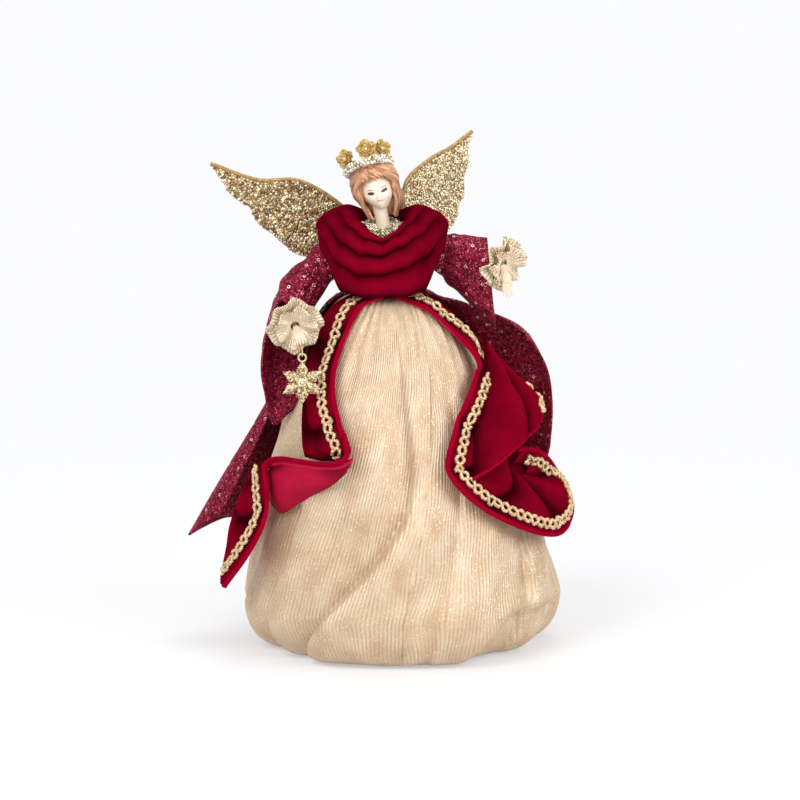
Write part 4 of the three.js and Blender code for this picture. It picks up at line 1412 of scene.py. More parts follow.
@dataclass
class VelvetPanel:
    """A length of the robe's wired velvet front, between a seam and a free edge.

    Edge and seam are places as angle, share of the waist height and stand-off from the skirt. A binding is a
    line of such places. A settled panel starts flat on the one below it, bowed aside by the bow. A gusset is
    a patch below it, as two angles, two shares of height and a stand-off.
    """

    form: SkirtForm
    name: str
    outside: int
    bulge: float
    edge: list[Triple]
    seam: list[Triple]
    flat: Pair
    braids: tuple[BraidRun, ...] = ()
    wired: bool = True
    reverse_shown: bool = False
    creases: float = 5.0
    crease_depth: float = 1.0
    seed: int = 3
    binding: tuple[Triple, ...] = ()
    binding_radius: float = 2.8
    settled: bool = False
    settled_share: float = 0.3
    bow: float = 0.0
    bow_across: Pair = (0.17, 0.2)
    bow_share: float = 0.35
    full_width: float = 24.0
    softness: float = 0.4
    shadow: Triple = (0.85, 0.74, 0.96)
    gusset: tuple[float, ...] = ()
    piping: float = 1.5
    plain_edge: float = 0.9
    edge_steps: tuple[float, ...] = (2.0, 1.85, 1.5, 1.0, 0.55, 0.2, 0.05, 0.0)
    edge_least: tuple[float, ...] = (1.2, 1.2, 1.2, 1.2, 1.2, 0.9, 0.5, 0.25)
    # The pile's shade on the rolled edge and the binding, a painted highlight.
    edge_highlight: float = 0.85
    cloth: float = 1.2
    braid_inset: float = 4.5
    braid_width: float = 7.0
    braid_step: float = 0.5
    braid_samples: int = 400
    braid_smoothing: int = 4
    loop_pitch: float = 5.4
    cord_radius: float = 1.2
    strand_pitch: float = 2.6
    strand_lay: float = 0.42
    strand_share: float = 0.66
    rows_each: int = 14
    columns: int = 26

    def _ends(self, t: Points) -> tuple[Points, Points, Points, Points]:
        """The seam and edge points, the way out and the slant of the rows at shares t along the panel.

        Args:
            t: the shares.

        Returns:
            The four, with a row for each share.
        """
        edge_knots = np.array([self.form.off(*place) for place in self.edge])
        seam_knots = np.array([self.form.off(*place) for place in self.seam])
        start, finish = curve_at(seam_knots, t), curve_at(edge_knots, t)
        outward = start + finish
        outward[:, 2] = 0
        after, before = (curve_at(edge_knots, np.clip(t + step, 0, 1)) for step in (0.004, -0.004))
        tangent = unit(after - before)
        slant = np.linalg.norm(np.cross(tangent, unit(finish - start)), axis=1)
        return start, finish, unit(outward), np.maximum(slant, 0.5)

    def surface(self, t: Points, share: Points) -> Points:
        """Points of the panel.

        Args:
            t: shares along it, one for each row.
            share: shares from the seam to the edge, rows by columns.

        Returns:
            The points, rows by columns by 3.
        """
        start, finish, outward, _ = self._ends(t)
        way = finish - start
        length = np.linalg.norm(way, axis=1)[:, None]
        hill = np.sin(np.pi * np.clip(share, 0, 1))
        arch = self.bulge * length * hill
        window = hill**0.7 * np.minimum(1, length / self.full_width)
        soft = self.softness * ripple(t[:, None] * 2, share, self.seed + 1, 7, 4.0)
        push = arch + self.crease_depth * window * (2 * self._rolled(t, share) + soft)
        if self.settled:
            push = push * smoothstep(t, 0, self.settled_share)[:, None]
        line = start[:, None] + way[:, None] * share[..., None]
        at, width = self.bow_across
        bend = self.bow * np.exp(-(((share - at) / width) ** 2))
        bend = bend * (1 - smoothstep(t, 0, self.bow_share))[:, None]
        aside = np.cross(UP, outward)
        return line + outward[:, None] * push[..., None] + aside[:, None] * bend[..., None]

    def _rolled(self, t: Points, share: Points) -> Points:
        """The rolls and creases across the panel."""
        wander = 0.25 * ripple(t[:, None], share * 0.4, self.seed, 5, 3.0)
        return rolls(self.creases * t[:, None] + wander)

    def _share_before(self, t: Points, distance: Points) -> Points:
        """The share of each row that ends a distance in from the free edge, measured square to the edge.

        Args:
            t: shares along the panel, one for each row.
            distance: distances in from the edge.

        Returns:
            The shares, rows by distances.
        """
        start, finish, _, slant = self._ends(t)
        length = np.linalg.norm(finish - start, axis=1)
        return 1 - distance / (slant * length)[:, None]

    def _turned(self, grid: Points) -> Points:
        """The grid with its good side out."""
        return grid if self.outside > 0 else grid[::-1]

    def build(self) -> None:
        """Makes the panel with its rolled edge, and its braid."""
        t = np.linspace(0, 1, (len(self.edge) - 1) * self.rows_each + 1)
        radius = self.piping if self.wired else self.plain_edge
        roll = np.array(self.edge_steps) * radius
        ends = self._share_before(t, roll[None])
        flat = ends[:, :1] * np.linspace(0, 1, self.columns, endpoint=False)[None]
        share = np.concatenate([flat, ends], axis=1)
        grid = self.surface(t, share)
        across = np.sqrt(np.maximum(radius**2 - (roll - radius) ** 2, 0.01)) * 2
        across[0] = self.cloth
        thickness = np.concatenate([np.full(self.columns, self.cloth), np.maximum(across, self.edge_least)])
        draft = Draft()
        finishes = [CRIMSON, VELVET] if self.reverse_shown else [VELVET, CRIMSON]
        # Painted light: the pile is painted darker in the creases as shade and lighter on the rolls as
        # highlight; the shown reverse is darkened towards the tail as a painted shadow, and the rolled edge
        # gets a painted highlight.
        shade = np.clip(0.2 + 0.85 * self._rolled(t, share), 0, 1)
        if self.reverse_shown:
            depth, start, end = self.shadow
            shade = shade * (1 - depth * smoothstep(t, start, end))[:, None]
        shade[:, self.columns + 1 :] = self.edge_highlight
        draft.cloth(self._turned(grid), thickness, False, 0, 1, self._turned(shade))
        if self.gusset:
            low_angle, high_angle, low, high, standoff = self.gusset
            angles, shares = np.linspace(high_angle, low_angle, 30), np.linspace(low, high, 20)
            patch = self.form.off(*np.meshgrid(angles, shares, indexing="ij"), standoff)
            draft.cloth(patch, self.cloth, False, 0, 0, 0.2)
        panel = Workshop.make(f"{self.name}_velvet", draft, finishes, Body.FIGURE, "red_velvet", [self.name])
        Workshop.cloth(panel, self.flat, Held.DRAPED, "skirt")
        if self.binding:
            self._bind()
        for run in self.braids:
            self._braid(run)

    def _bind(self) -> None:
        """Makes the wired binding, in which the good side is turned over the free edge."""
        knots = np.array([self.form.off(*place) for place in self.binding])
        line = even_points(curve_at(knots, np.linspace(0, 1, 200)), 1.0)
        share = np.linspace(0, 1, len(line))
        taper = 0.25 + 0.75 * smoothstep(np.minimum(share, 1 - share), 0, 0.06)
        draft = Draft()
        # The binding gets the rolled edge's painted highlight.
        draft.tube(line, self.binding_radius * taper, 14, shade=self.edge_highlight, flat=0.5, first=(0, 0, 1))
        Workshop.make(f"{self.name}_binding", draft, [VELVET], Body.FIGURE, "red_velvet")

    def _braid(self, run: BraidRun) -> None:
        """Makes a run of chain braid: two cords that cross and part, sewn flat on the velvet.

        Args:
            run: the run.
        """
        t = np.linspace(run.start, run.end, self.braid_samples)
        middle = self.braid_inset + self.braid_width / 2
        strip = self.surface(t, self._share_before(t, np.array([[middle + 1.0, middle, middle - 1.0]])))
        normals = self.outside * grid_normals(strip, False)[:, 1]
        more = self.braid_smoothing
        kernel = np.ones(2 * more + 1) / (2 * more + 1)
        padded = np.vstack([strip[:1, 1]] * more + [strip[:, 1]] + [strip[-1:, 1]] * more)
        line = np.stack([np.convolve(padded[:, k], kernel, "valid") for k in range(3)], axis=1)
        length = run_lengths(line)
        steps = np.arange(0, length[-1], self.braid_step)
        path = points_along(steps, length, line)
        up = unit(points_along(steps, length, normals))
        tangents = unit(np.gradient(path, axis=0))
        side = unit(np.cross(up, tangents))
        draft = Draft()
        base = self.cloth / 2 + self.cord_radius * 0.8
        half = self.braid_width / 2 - self.cord_radius
        phase = np.pi * steps / self.loop_pitch
        lay = self.strand_lay * self.cord_radius
        for cord in (0, 1):
            swing = np.sin(phase + cord * np.pi)
            over = 0.5 * np.cos(phase * 2 + cord * np.pi) + 0.5
            away = half * np.sign(swing) * np.abs(swing) ** 0.7
            cord_line = path + side * away[:, None] + up * (base + 0.55 * self.cord_radius * over)[:, None]
            for strand in (0, 1):
                turn = (2 * np.pi * steps / self.strand_pitch + strand * np.pi)[:, None]
                line = cord_line + (side * (np.cos(turn) * lay) + up * (np.sin(turn) * lay))
                draft.tube(line, self.cord_radius * self.strand_share, 6, shade=0.45 + 0.3 * strand)
        Workshop.make(run.name, draft, [BRAID_GOLD], Body.FIGURE, "gold_braid", run.nodes)


@dataclass
class VelvetFronts:
    """The five panels of the two velvet fronts."""

    form: SkirtForm

    def build(self) -> None:
        """Makes each panel and its braid."""
        form = self.form
        panels = [
            VelvetPanel(
                form, "right_facing", 1, 0.08,
                [(-2, 1.005, 4), (-24, 0.985, 6), (-31, 0.893, 8), (-31, 0.791, 10), (-24, 0.689, 12),
                 (-18, 0.61, 13), (-22, 0.58, 11)],
                [(-66, 1.005, 3), (-72, 0.966, 3.5), (-70, 0.864, 4), (-58, 0.767, 4), (-53, 0.68, 4),
                 (-48, 0.605, 4), (-45, 0.575, 4)],
                (36.0, 108.0),
                (BraidRun("right_front_braid", 0.0, 0.89, ("right_braid_1",)),),
                creases=3.0, crease_depth=1.6, seed=3,
            ),
            VelvetPanel(
                form, "right_flap", -1, 0.1,
                [(-16, 0.6, 16), (-21, 0.58, 17.5), (-28, 0.575, 18), (-38, 0.576, 18), (-48, 0.574, 18),
                 (-55, 0.562, 18.5)],
                [(-20, 0.555, 10), (-28, 0.512, 6), (-38, 0.478, 3), (-46, 0.448, 2.6), (-55, 0.413, 3.6),
                 (-61, 0.43, 5.5)],
                (30.0, 62.0), reverse_shown=True, creases=0.94, crease_depth=1.4, seed=9,
                binding=((-22, 0.668, 13), (-19.5, 0.628, 16), (-18.8, 0.598, 18.5), (-23, 0.583, 20),
                         (-30, 0.579, 20.5), (-38, 0.58, 20.5), (-48, 0.578, 20.5), (-53.2, 0.566, 21.3),
                         (-53.8, 0.545, 22.4), (-52.2, 0.515, 21.8), (-50.8, 0.47, 20.5)),
            ),
            VelvetPanel(
                form, "right_tail", 1, 0.1,
                [(-56, 0.556, 21), (-53, 0.517, 20), (-51, 0.466, 19), (-51, 0.391, 19.5), (-56, 0.298, 21),
                 (-64, 0.201, 24)],
                [(-72, 0.535, 13), (-77, 0.47, 14.5), (-80, 0.41, 16), (-81, 0.345, 17.5), (-75, 0.28, 19),
                 (-69.5, 0.226, 23)],
                (36.0, 84.0),
                (BraidRun("right_tail_braid", 0.03, 0.93, ("right_braid_2",)),),
                creases=2.0, crease_depth=1.4, seed=15,
            ),
            VelvetPanel(
                form, "left_facing", -1, 0.06,
                [(12, 1.005, 4), (43, 0.966, 6), (58, 0.879, 8), (60, 0.825, 10), (45, 0.772, 12),
                 (30, 0.675, 11), (22, 0.56, 10), (29, 0.479, 10), (48, 0.385, 12), (70, 0.336, 17),
                 (86, 0.385, 23), (88, 0.475, 22.5), (77, 0.562, 20), (67, 0.59, 20.5), (57, 0.6, 19.5)],
                [(66, 1.01, 3), (74, 0.985, 4), (78, 0.93, 6), (77, 0.835, 8), (72, 0.75, 8), (68, 0.68, 8),
                 (63, 0.625, 8), (58.5, 0.59, 8), (57.5, 0.555, 8), (59.5, 0.525, 8.5), (63.5, 0.51, 9),
                 (67.5, 0.515, 10), (70, 0.535, 11), (64, 0.55, 12), (57, 0.555, 12.5)],
                (46.0, 190.0),
                (BraidRun("left_front_braid", 0.0, 0.935, ("left_braid_1", "left_braid_2")),),
                creases=9.0, crease_depth=2.4, seed=21, gusset=(46.0, 76.0, 0.5, 0.64, 7.5),
            ),
            VelvetPanel(
                form, "left_fold", -1, 0.11,
                [(32, 0.525, 12.9), (41, 0.56, 19.5), (50, 0.6, 24.5), (58, 0.626, 27), (66, 0.645, 28),
                 (76, 0.674, 28), (81, 0.704, 26), (79, 0.74, 24.5)],
                [(70, 0.9, 14), (71, 0.88, 15.5), (72, 0.86, 17), (73, 0.84, 18), (73.5, 0.82, 19),
                 (72.5, 0.793, 20), (71.5, 0.765, 21), (73, 0.742, 21)],
                (52.0, 58.0),
                (BraidRun("left_fold_braid", 0.62, 0.95, ("left_braid_3",)),),
                wired=False, creases=2.8, crease_depth=2.8, seed=27, settled=True, bow=7.0,
            ),
        ]
        for panel in panels:
            panel.build()


@dataclass
class Cowl:
    """The rolled velvet cowl round the shoulders."""

    middle_x: float = -13.0
    sections: tuple = (
        (0, ((12.1, -8), (17.5, -2.5), (25, -9), (31, -20), (28.5, -34.5))),
        (22, ((13, -5), (18.5, 1), (27, -5), (33, -18), (31.5, -34.5))),
        (42, ((14, 0), (19.5, 7), (29.5, 2), (36, -11), (34.8, -31.5))),
        (64, ((14, 5), (20.3, 13), (31, 9.5), (38.5, 1), (38.5, -9.5))),
        (78, ((14, 6), (20.5, 14.5), (31, 11), (38, 4.5), (36.5, 0.5))),
        (100, ((14, 5.5), (19, 14), (28, 12), (34.5, 8), (33, 5.2))),
        (140, ((12.6, 4.5), (14.2, 10), (16.2, 10), (17.8, 7), (17.4, 3.6))),
        (180, ((12, 3.2), (12.9, 7.5), (14.6, 9), (16.2, 7.4), (16.1, 3.6))),
    )
    folds: float = 5.0
    fold_depth: float = 6.0
    fold_start: float = 0.12
    fold_leans: tuple[Triple, ...] = ((0.26, 1.4, 25.0), (0.12, 4.0, 40.0))
    front_width: float = 62.0
    columns: int = 180
    rows: int = 110
    cloth: float = 1.6
    flat: Pair = (190.0, 36.0)

    def _column(self, angle: float) -> tuple[Points, Points]:
        """The points of one section, from the inner rim over the roll to the hem, and a shade for each that
        paints shade in the creases and a highlight on the rolls.

        Args:
            angle: degrees from the front towards +X.

        Returns:
            The points and the shades.
        """
        aside = float(angle_between(angle, 0))
        turn = abs(aside)
        after = next(k for k in range(1, len(self.sections)) if self.sections[k][0] >= turn)
        low, high = self.sections[after - 1], self.sections[after]
        mix = float(smoothstep(turn, low[0], high[0]))
        profile = np.array(low[1]) * (1 - mix) + np.array(high[1]) * mix
        way = round_axis(math.radians(angle), 1.0, 0.0)
        knots = profile[:, :1] * way + np.array(on_body(self.middle_x, 0, 0)) + profile[:, 1:] * np.array(UP)
        along = np.linspace(0, 1, self.rows)
        front = math.exp(-((turn / self.front_width) ** 2))
        leans = [size * math.sin(math.radians(pace * aside + at)) for size, pace, at in self.fold_leans]
        ridge = rolls(self.folds * along + self.fold_start + sum(leans) * np.sin(np.pi * along))
        outward = unit(way + np.array(UP) / 2)
        window = np.sin(np.pi * along) ** 0.6
        # Painted light at the front: shade in the creases between the rolls, a highlight on the rolls.
        shade = np.clip(0.18 + front * ridge, 0, 1)
        return curve_at(knots, along) + (self.fold_depth * front * ridge * window)[:, None] * outward, shade

    def build(self) -> None:
        """Makes the cowl."""
        angles = np.linspace(0, 360, self.columns, endpoint=False)
        grid, shade = (np.stack(part) for part in zip(*(self._column(float(a)) for a in angles), strict=True))
        turned = facing_out(grid, np.array(on_body(self.middle_x, 0, -30)), True)
        draft = Draft()
        draft.cloth(turned, self.cloth, True, shade=shade if turned is grid else shade[::-1])
        cowl = Workshop.make("cowl_velvet", draft, [VELVET], Body.FIGURE, "red_velvet", ["cowl"])
        Workshop.cloth(cowl, self.flat, Held.DRAPED, "torso")


SEQUIN_TURNS = 100
SEQUIN_TILT = 0.16
SEQUIN_SIZES = (0.95, 1.25)
SEQUIN_LIFT = 0.12


def sew_sequins(
    name: str, grid: Points, ring: bool, pitch: float, seed: int, body: Body, cloth: float
) -> None:
    """Sews ring sequins over the outside of a cloth.

    Args:
        name: the piece's name.
        grid: the cloth's middle surface, with its outside on the side of its normals.
        ring: whether the first index wraps round.
        pitch: the usual distance between sequins.
        seed: the seed of their spread.
        body: the body that they ride on.
        cloth: the cloth's thickness.
    """
    chance = np.random.default_rng(seed + SEQUIN_TURNS)
    places, normals, shades = scatter(grid, ring, pitch, seed)
    axes = sideways(normals, chance, SEQUIN_TILT, SEQUIN_SIZES)
    draft = Draft()
    draft.copies(ring_shape(), places + normals * (cloth / 2 + SEQUIN_LIFT), axes, shade=shades)
    Workshop.make(name, draft, [SEQUIN], body, "sequin_fabric")


@dataclass
class Robe:
    """The sequin robe round the back: columns of an angle and places, as share of height and stand-off."""

    form: SkirtForm
    columns: tuple = (
        (-88, ((1, 5), (0.97, 5), (0.922, 4), (0.8, 4), (0.68, 8), (0.534, 14), (0.379, 22))),
        (-97, ((1, 5), (0.97, 5), (0.922, 5), (0.8, 8), (0.655, 14), (0.485, 26), (0.291, 40))),
        (-112, ((1, 5), (0.97, 5), (0.913, 6), (0.786, 10), (0.631, 14), (0.476, 20), (0.32, 26))),
        (-131, ((1, 5), (0.97, 5), (0.903, 5), (0.767, 8), (0.602, 10), (0.427, 14), (0.252, 17))),
        (-151, ((1, 5), (0.97, 5), (0.903, 6), (0.757, 9), (0.592, 13), (0.417, 17), (0.243, 21))),
        (-171, ((1, 5), (0.97, 5), (0.903, 4), (0.757, 6), (0.583, 8), (0.408, 11), (0.223, 14))),
        (-190, ((1, 5), (0.97, 5), (0.903, 6), (0.757, 9), (0.583, 13), (0.408, 16), (0.223, 20))),
        (-210, ((1, 5), (0.97, 5), (0.903, 5), (0.757, 7), (0.592, 9), (0.417, 11), (0.243, 14))),
        (-230, ((1, 5), (0.97, 5), (0.913, 8), (0.777, 12), (0.621, 16), (0.456, 19), (0.301, 22))),
        (-247, ((1, 5), (0.98, 6), (0.932, 12), (0.835, 22), (0.709, 22), (0.563, 18), (0.408, 14))),
        (-258, ((1, 5), (0.98, 6), (0.951, 18), (0.893, 36), (0.786, 38), (0.66, 31), (0.524, 20))),
        (-264, ((1, 5), (0.98, 6), (0.956, 17), (0.903, 34), (0.796, 39), (0.68, 33), (0.558, 22))),
    )
    rows: int = 64
    steps: int = 15
    cloth: float = 1.2
    sequin_pitch: float = 11.0
    flat: Pair = (240.0, 190.0)

    def grid(self) -> Points:
        """The robe's middle surface, with its outside on the side of its normals.

        Returns:
            The points, across by down.
        """
        shares = np.linspace(0, 1, self.rows)
        lines = []
        for angle, places in self.columns:
            line = even_curve_at(places, shares)
            lines.append(self.form.off(np.full(self.rows, float(angle)), line[:, 0], line[:, 1]))
        across = np.linspace(0, 1, (len(self.columns) - 1) * self.steps + 1)
        made = np.stack([curve_at(row, across) for row in np.stack(lines, axis=1)], axis=1)
        u, v = across[:, None], shares[None]
        crumple = 0.9 * ripple(u * 3, v, Seed.ROBE, 9, 5.0) * np.sin(np.pi * np.clip(v, 0.02, 0.9)) ** 0.5
        crumple = crumple * smoothstep(np.minimum(u, 1 - u), 0, 0.06)
        return made + grid_normals(made, False) * crumple[..., None]

    def build(self) -> None:
        """Makes the robe and its sequins."""
        grid = self.grid()
        draft = Draft()
        draft.cloth(grid, self.cloth, False)
        robe = Workshop.make("robe_cloth", draft, [SEQUIN_CLOTH], Body.FIGURE, "sequin_fabric", ["robe_back"])
        Workshop.cloth(robe, self.flat, Held.DRAPED, "skirt")
        turned_front = grid[-3 * self.steps :][::-1]
        faces = [("robe", grid, Seed.ROBE_SEQUINS), ("robe_front", turned_front, Seed.FRONT_SEQUINS)]
        for name, face, seed in faces:
            sew_sequins(f"{name}_sequins", face, False, self.sequin_pitch, seed, Body.FIGURE, self.cloth)


@dataclass(frozen=True)
class Station:
    """A section of a sleeve: its middle, and its half widths across and down as vectors."""

    centre: Triple
    across: Triple
    down: Triple

    def rim(self, turn: float, swell: float) -> Points:
        """The section's point at a turn round it, swollen by a share."""
        spoke = np.array(self.across) * math.cos(turn) + np.array(self.down) * math.sin(turn)
        return np.array(self.centre) + swell * spoke


@dataclass
class Arm:
    """An arm: a sequin sleeve, a pleated cuff frill and a hand."""

    side: Side
    body: Body
    stations: tuple[Station, ...]
    cuff_centre: Triple
    cuff_axis: Triple
    cuff_radius: float
    hand: tuple[Triple, Triple, Triple]
    thumb_side: int
    sleeve_flat: Pair
    cuff_flat: Pair
    cuff_hole: float = 2.6
    cuff_waves: int = 7
    cuff_wave: float = 3.2
    cuff_lean: float = 2.4
    cuff_pleats: int = 60
    samples_per_pleat: int = 5
    cuff_rows: int = 14
    cuff_cloth: float = 0.45
    inner_share: float = 0.76
    inner_lean: float = 1.2
    inner_start: float = 2.2
    inner_phase: float = 0.9
    bead_pitch: float = 1.25
    bead_sizes: Pair = (0.42, 0.62)
    sleeve_around: int = 96
    sleeve_rows: int = 60
    sleeve_ripple: float = 0.06
    cloth: float = 1.2
    sequin_pitch: float = 9.5
    hand_rows: int = 25
    palm_rows: int = 15
    knuckle_row: int = 12
    fingers: tuple[Pair, ...] = ((-2.1, 0.82), (-0.7, 0.97), (0.7, 1.0), (2.05, 0.88))
    finger_radii: Pair = (0.84, 0.54)
    thumb: tuple[tuple[int, float], ...] = ((7, 1.9), (10, 0.9), (14, 4.3))
    thumb_drop: float = 0.8
    thumb_radii: Pair = (1.05, 0.6)
    palm_widths: tuple[Pair, ...] = ((0, 1.7), (0.3, 2.2), (0.75, 3.1), (1, 2.7))
    hand_side: Triple = (1.0, 0.0, 0.2)
    skin_voxel: float = 0.2

    def build(self) -> None:
        """Makes the sleeve, the cuff and the hand."""
        self._sleeve()
        self._cuff()
        self._hand()

    def _sleeve(self) -> None:
        """Makes the bell sleeve and its sequins."""
        last = len(self.stations) - 1
        shares = np.linspace(0, 1, self.sleeve_rows)
        loops = []
        for turn in full_turn(self.sleeve_around):
            swells = [1 + self.sleeve_ripple * k / last * math.cos(5 * turn) for k in range(last + 1)]
            knots = [station.rim(turn, swell) for station, swell in zip(self.stations, swells, strict=True)]
            loops.append(curve_at(knots, shares))
        grid = np.stack(loops)
        grid = facing_out(grid, grid.mean(axis=0, keepdims=True), True)
        u, v = np.linspace(0, 1, self.sleeve_around, endpoint=False)[:, None], shares[None]
        seed = Seed.SLEEVE + self.side.value
        crumple = 0.8 * ripple(0.5 + 0.5 * np.sin(2 * np.pi * u), v * 2, seed, 9, 5.0)
        grid = grid + grid_normals(grid, True) * (crumple * np.sin(np.pi * np.clip(v, 0.0, 0.97)))[..., None]
        draft = Draft()
        draft.cloth(grid, self.cloth, True)
        name = f"{self.side.word}_sleeve"
        sleeve = Workshop.make(f"{name}_cloth", draft, [SEQUIN_CLOTH], self.body, "sequin_fabric", [name])
        Workshop.cloth(sleeve, self.sleeve_flat, Held.DRAPED, f"{self.side.word}_arm_wire")
        seed = Seed.SLEEVE_SEQUINS + self.side.value
        sew_sequins(f"{name}_sequins", grid, True, self.sequin_pitch, seed, self.body, self.cloth)

    def _frill(self, radius: float, lean: float, start: float, phase: float) -> tuple[Points, Points]:
        """A pleated frill.

        Args:
            radius: its outer radius.
            lean: how far its rim stands forward along the arm.
            start: where along the arm it starts.
            phase: the turn of its waves.

        Returns:
            The frill's surface and a shade for each point, painted darker in the pleats' valleys and lighter on
            their crests.
        """
        direction = unit(np.array(self.cuff_axis))
        across = unit(np.cross(UP, direction))
        up = np.cross(direction, across)
        turn = full_turn(self.cuff_pleats * self.samples_per_pleat)[:, None]
        share = np.linspace(0, 1, self.cuff_rows)[None]
        pleat = np.cos(self.cuff_pleats * turn + 0.8 * np.sin(3 * turn + phase))
        wave = self.cuff_wave * share * np.sin(self.cuff_waves * turn + phase) + lean * share + start
        wave = wave + 0.55 * pleat * (0.35 + 0.65 * share)
        hole = self.cuff_hole
        reach = hole + (radius - hole) * share * (1 + 0.05 * np.sin(4 * turn + 1 + phase))
        spoke = np.cos(turn)[..., None] * across + np.sin(turn)[..., None] * up
        grid = np.array(self.cuff_centre) + spoke * reach[..., None] + wave[..., None] * direction
        # Painted light on the pleats: darker in the valleys as shade, lighter on the crests as highlight.
        return grid, np.clip(0.5 + 0.45 * pleat + 0 * share, 0, 1)

    def _cuff(self) -> None:
        """Makes the cuff: two pleated frills with small beads along their rims."""
        draft = Draft()
        outer = self._frill(self.cuff_radius, self.cuff_lean, 0.0, 0.0)
        radius, lean = self.inner_share * self.cuff_radius, self.cuff_lean + self.inner_lean
        inner = self._frill(radius, lean, self.inner_start, self.inner_phase)
        for grid, shade in (outer, inner):
            draft.cloth(grid, self.cuff_cloth, True, shade=shade)
        name = f"{self.side.word}_cuff"
        cuff = Workshop.make(f"{name}_frill", draft, [CUFF_GOLD], self.body, "gold_pleat", [name])
        Workshop.cloth(cuff, self.cuff_flat, Held.GATHERED, f"{self.side.word}_arm_wire")
        beads = Draft()
        chance = np.random.default_rng(Seed.CUFF_BEADS)
        for grid, _ in (outer, inner):
            line = even_points(grid[:, -1], self.bead_pitch, True)
            size = chance.uniform(*self.bead_sizes, (len(line), 1))
            beads.beads(line, size, shade=chance.uniform(0.2, 1, len(line)), facets=(6, 4))
        Workshop.make(f"{name}_beads", beads, [GLITTER], self.body, "gold_pleat")

    def _hand(self) -> None:
        """Makes the hand: a palm with four fingers and a thumb, blended into one skin."""
        path = curve_at(self.hand, np.linspace(0, 1, self.hand_rows))
        sides, ups = carried_frames(path, np.array(self.hand_side))
        draft = Draft()
        palm_width = np.interp(np.linspace(0, 1, self.palm_rows), *np.transpose(self.palm_widths))
        draft.tube(path[: self.palm_rows], palm_width, 14, flat=0.55, first=self.hand_side)
        reach_rows = self.hand_rows - 1 - self.knuckle_row
        for place, reach in self.fingers:
            run = np.arange(self.knuckle_row, int(round(self.knuckle_row + reach_rows * reach)) + 1)
            along = (run - self.knuckle_row) / reach_rows
            line = path[run] + sides[run] * (place * (1 + 0.22 * along))[:, None]
            line = line - ups[run] * (0.35 * along**2 * self.thumb_side)[:, None]
            draft.tube(line, np.linspace(*self.finger_radii, len(run)), 8)
        (low, low_out), (bend, bend_out), (high, high_out) = self.thumb
        root = path[low] + sides[low] * low_out * self.thumb_side
        tip = path[high] + sides[high] * high_out * self.thumb_side - ups[high] * self.thumb_drop
        middle = (root + tip) / 2 + sides[bend] * bend_out * self.thumb_side
        thumb_line = curve_at([root, middle, tip], np.linspace(0, 1, 9))
        draft.tube(thumb_line, np.linspace(*self.thumb_radii, len(thumb_line)), 8)
        name = f"{self.side.word}_hand"
        hand = Workshop.make(f"{name}_skin", draft, [SKIN], self.body, "doll_skin", [name])
        blend = hand.modifiers.new("one_skin", "REMESH")
        blend.mode = "VOXEL"
        blend.voxel_size = self.skin_voxel * MM
        blend.use_smooth_shade = True
        soften = hand.modifiers.new("soften", "SMOOTH")
        soften.factor = 0.5
        soften.iterations = 4


def right_arm() -> Arm:
    """The doll's right arm, which holds the snowflake."""
    return Arm(
        Side.RIGHT,
        Body.RIGHT_ARM,
        (
            Station(on_body(-32.2, 2, -7.9), (0, 3.8, 0), (2.4, 0, -2.9)),
            Station(on_body(-39, 2, -11.5), (0, 9, 0), (5.6, 0, -6.4)),
            Station(on_body(-50, 2, -23), (0, 11, 0), (7, 0, -7.2)),
            Station(on_body(-63, -5, -39), (-7, 9, 0), (5, 5, -12)),
            Station(on_body(-69, -16, -57), (-10.5, 2, 0), (0, 8, -21)),
            Station(on_body(-71, -25, -73), (-11, 0, 0), (-2, 3, -36)),
        ),
        on_body(-63.6, -38.5, -48.4),
        (0.22, -0.94, -0.24),
        15.5,
        (on_body(-62.8, -41.6, -49.2), on_body(-60.6, -49, -53), on_body(-58.8, -56, -56.8)),
        1,
        (90.0, 84.0),
        (176.0, 14.0),
    )


def left_arm() -> Arm:
    """The doll's left arm."""
    return Arm(
        Side.LEFT,
        Body.LEFT_ARM,
        (
            Station(on_body(8.4, 2, -7), (0, 3.8, 0), (0, 0, -3.8)),
            Station(on_body(13, 3.4, -10.5), (0, 8, 0), (0, 0, -8.4)),
            Station(on_body(22, 3, -15), (0, 9.5, 0), (1, 0, -13)),
            Station(on_body(37, 0, -24), (0, 10.5, 0), (3, 0, -20.5)),
            Station(on_body(50, -3, -31), (0, 11, 0), (2.5, 0, -26)),
        ),
        on_body(55, -17.4, -15.5),
        (0.68, -0.68, -0.3),
        15.0,
        (on_body(56, -19.6, -16.8), on_body(58.5, -22.5, -25), on_body(59.5, -24, -35)),
        -1,
        (86.0, 56.0),
        (170.0, 14.0),
    )


def flake_shape() -> Shape:
    """The points and faces of a flat six-sided glitter flake of radius one, facing z.

    Returns:
        The points and the faces.
    """
    turn = full_turn(6)
    rim = np.stack([np.cos(turn), np.sin(turn), 0 * turn], 1)
    points = np.vstack([rim, rim * 0.97 + np.array([0, 0, 0.12])])
    faces = [[k, (k + 1) % 6, 6 + (k + 1) % 6, 6 + k] for k in range(6)]
    faces += [[6, 7, 8, 9], [6, 9, 10, 11], [3, 2, 1, 0], [5, 4, 3, 0]]
    return points, np.array(faces)


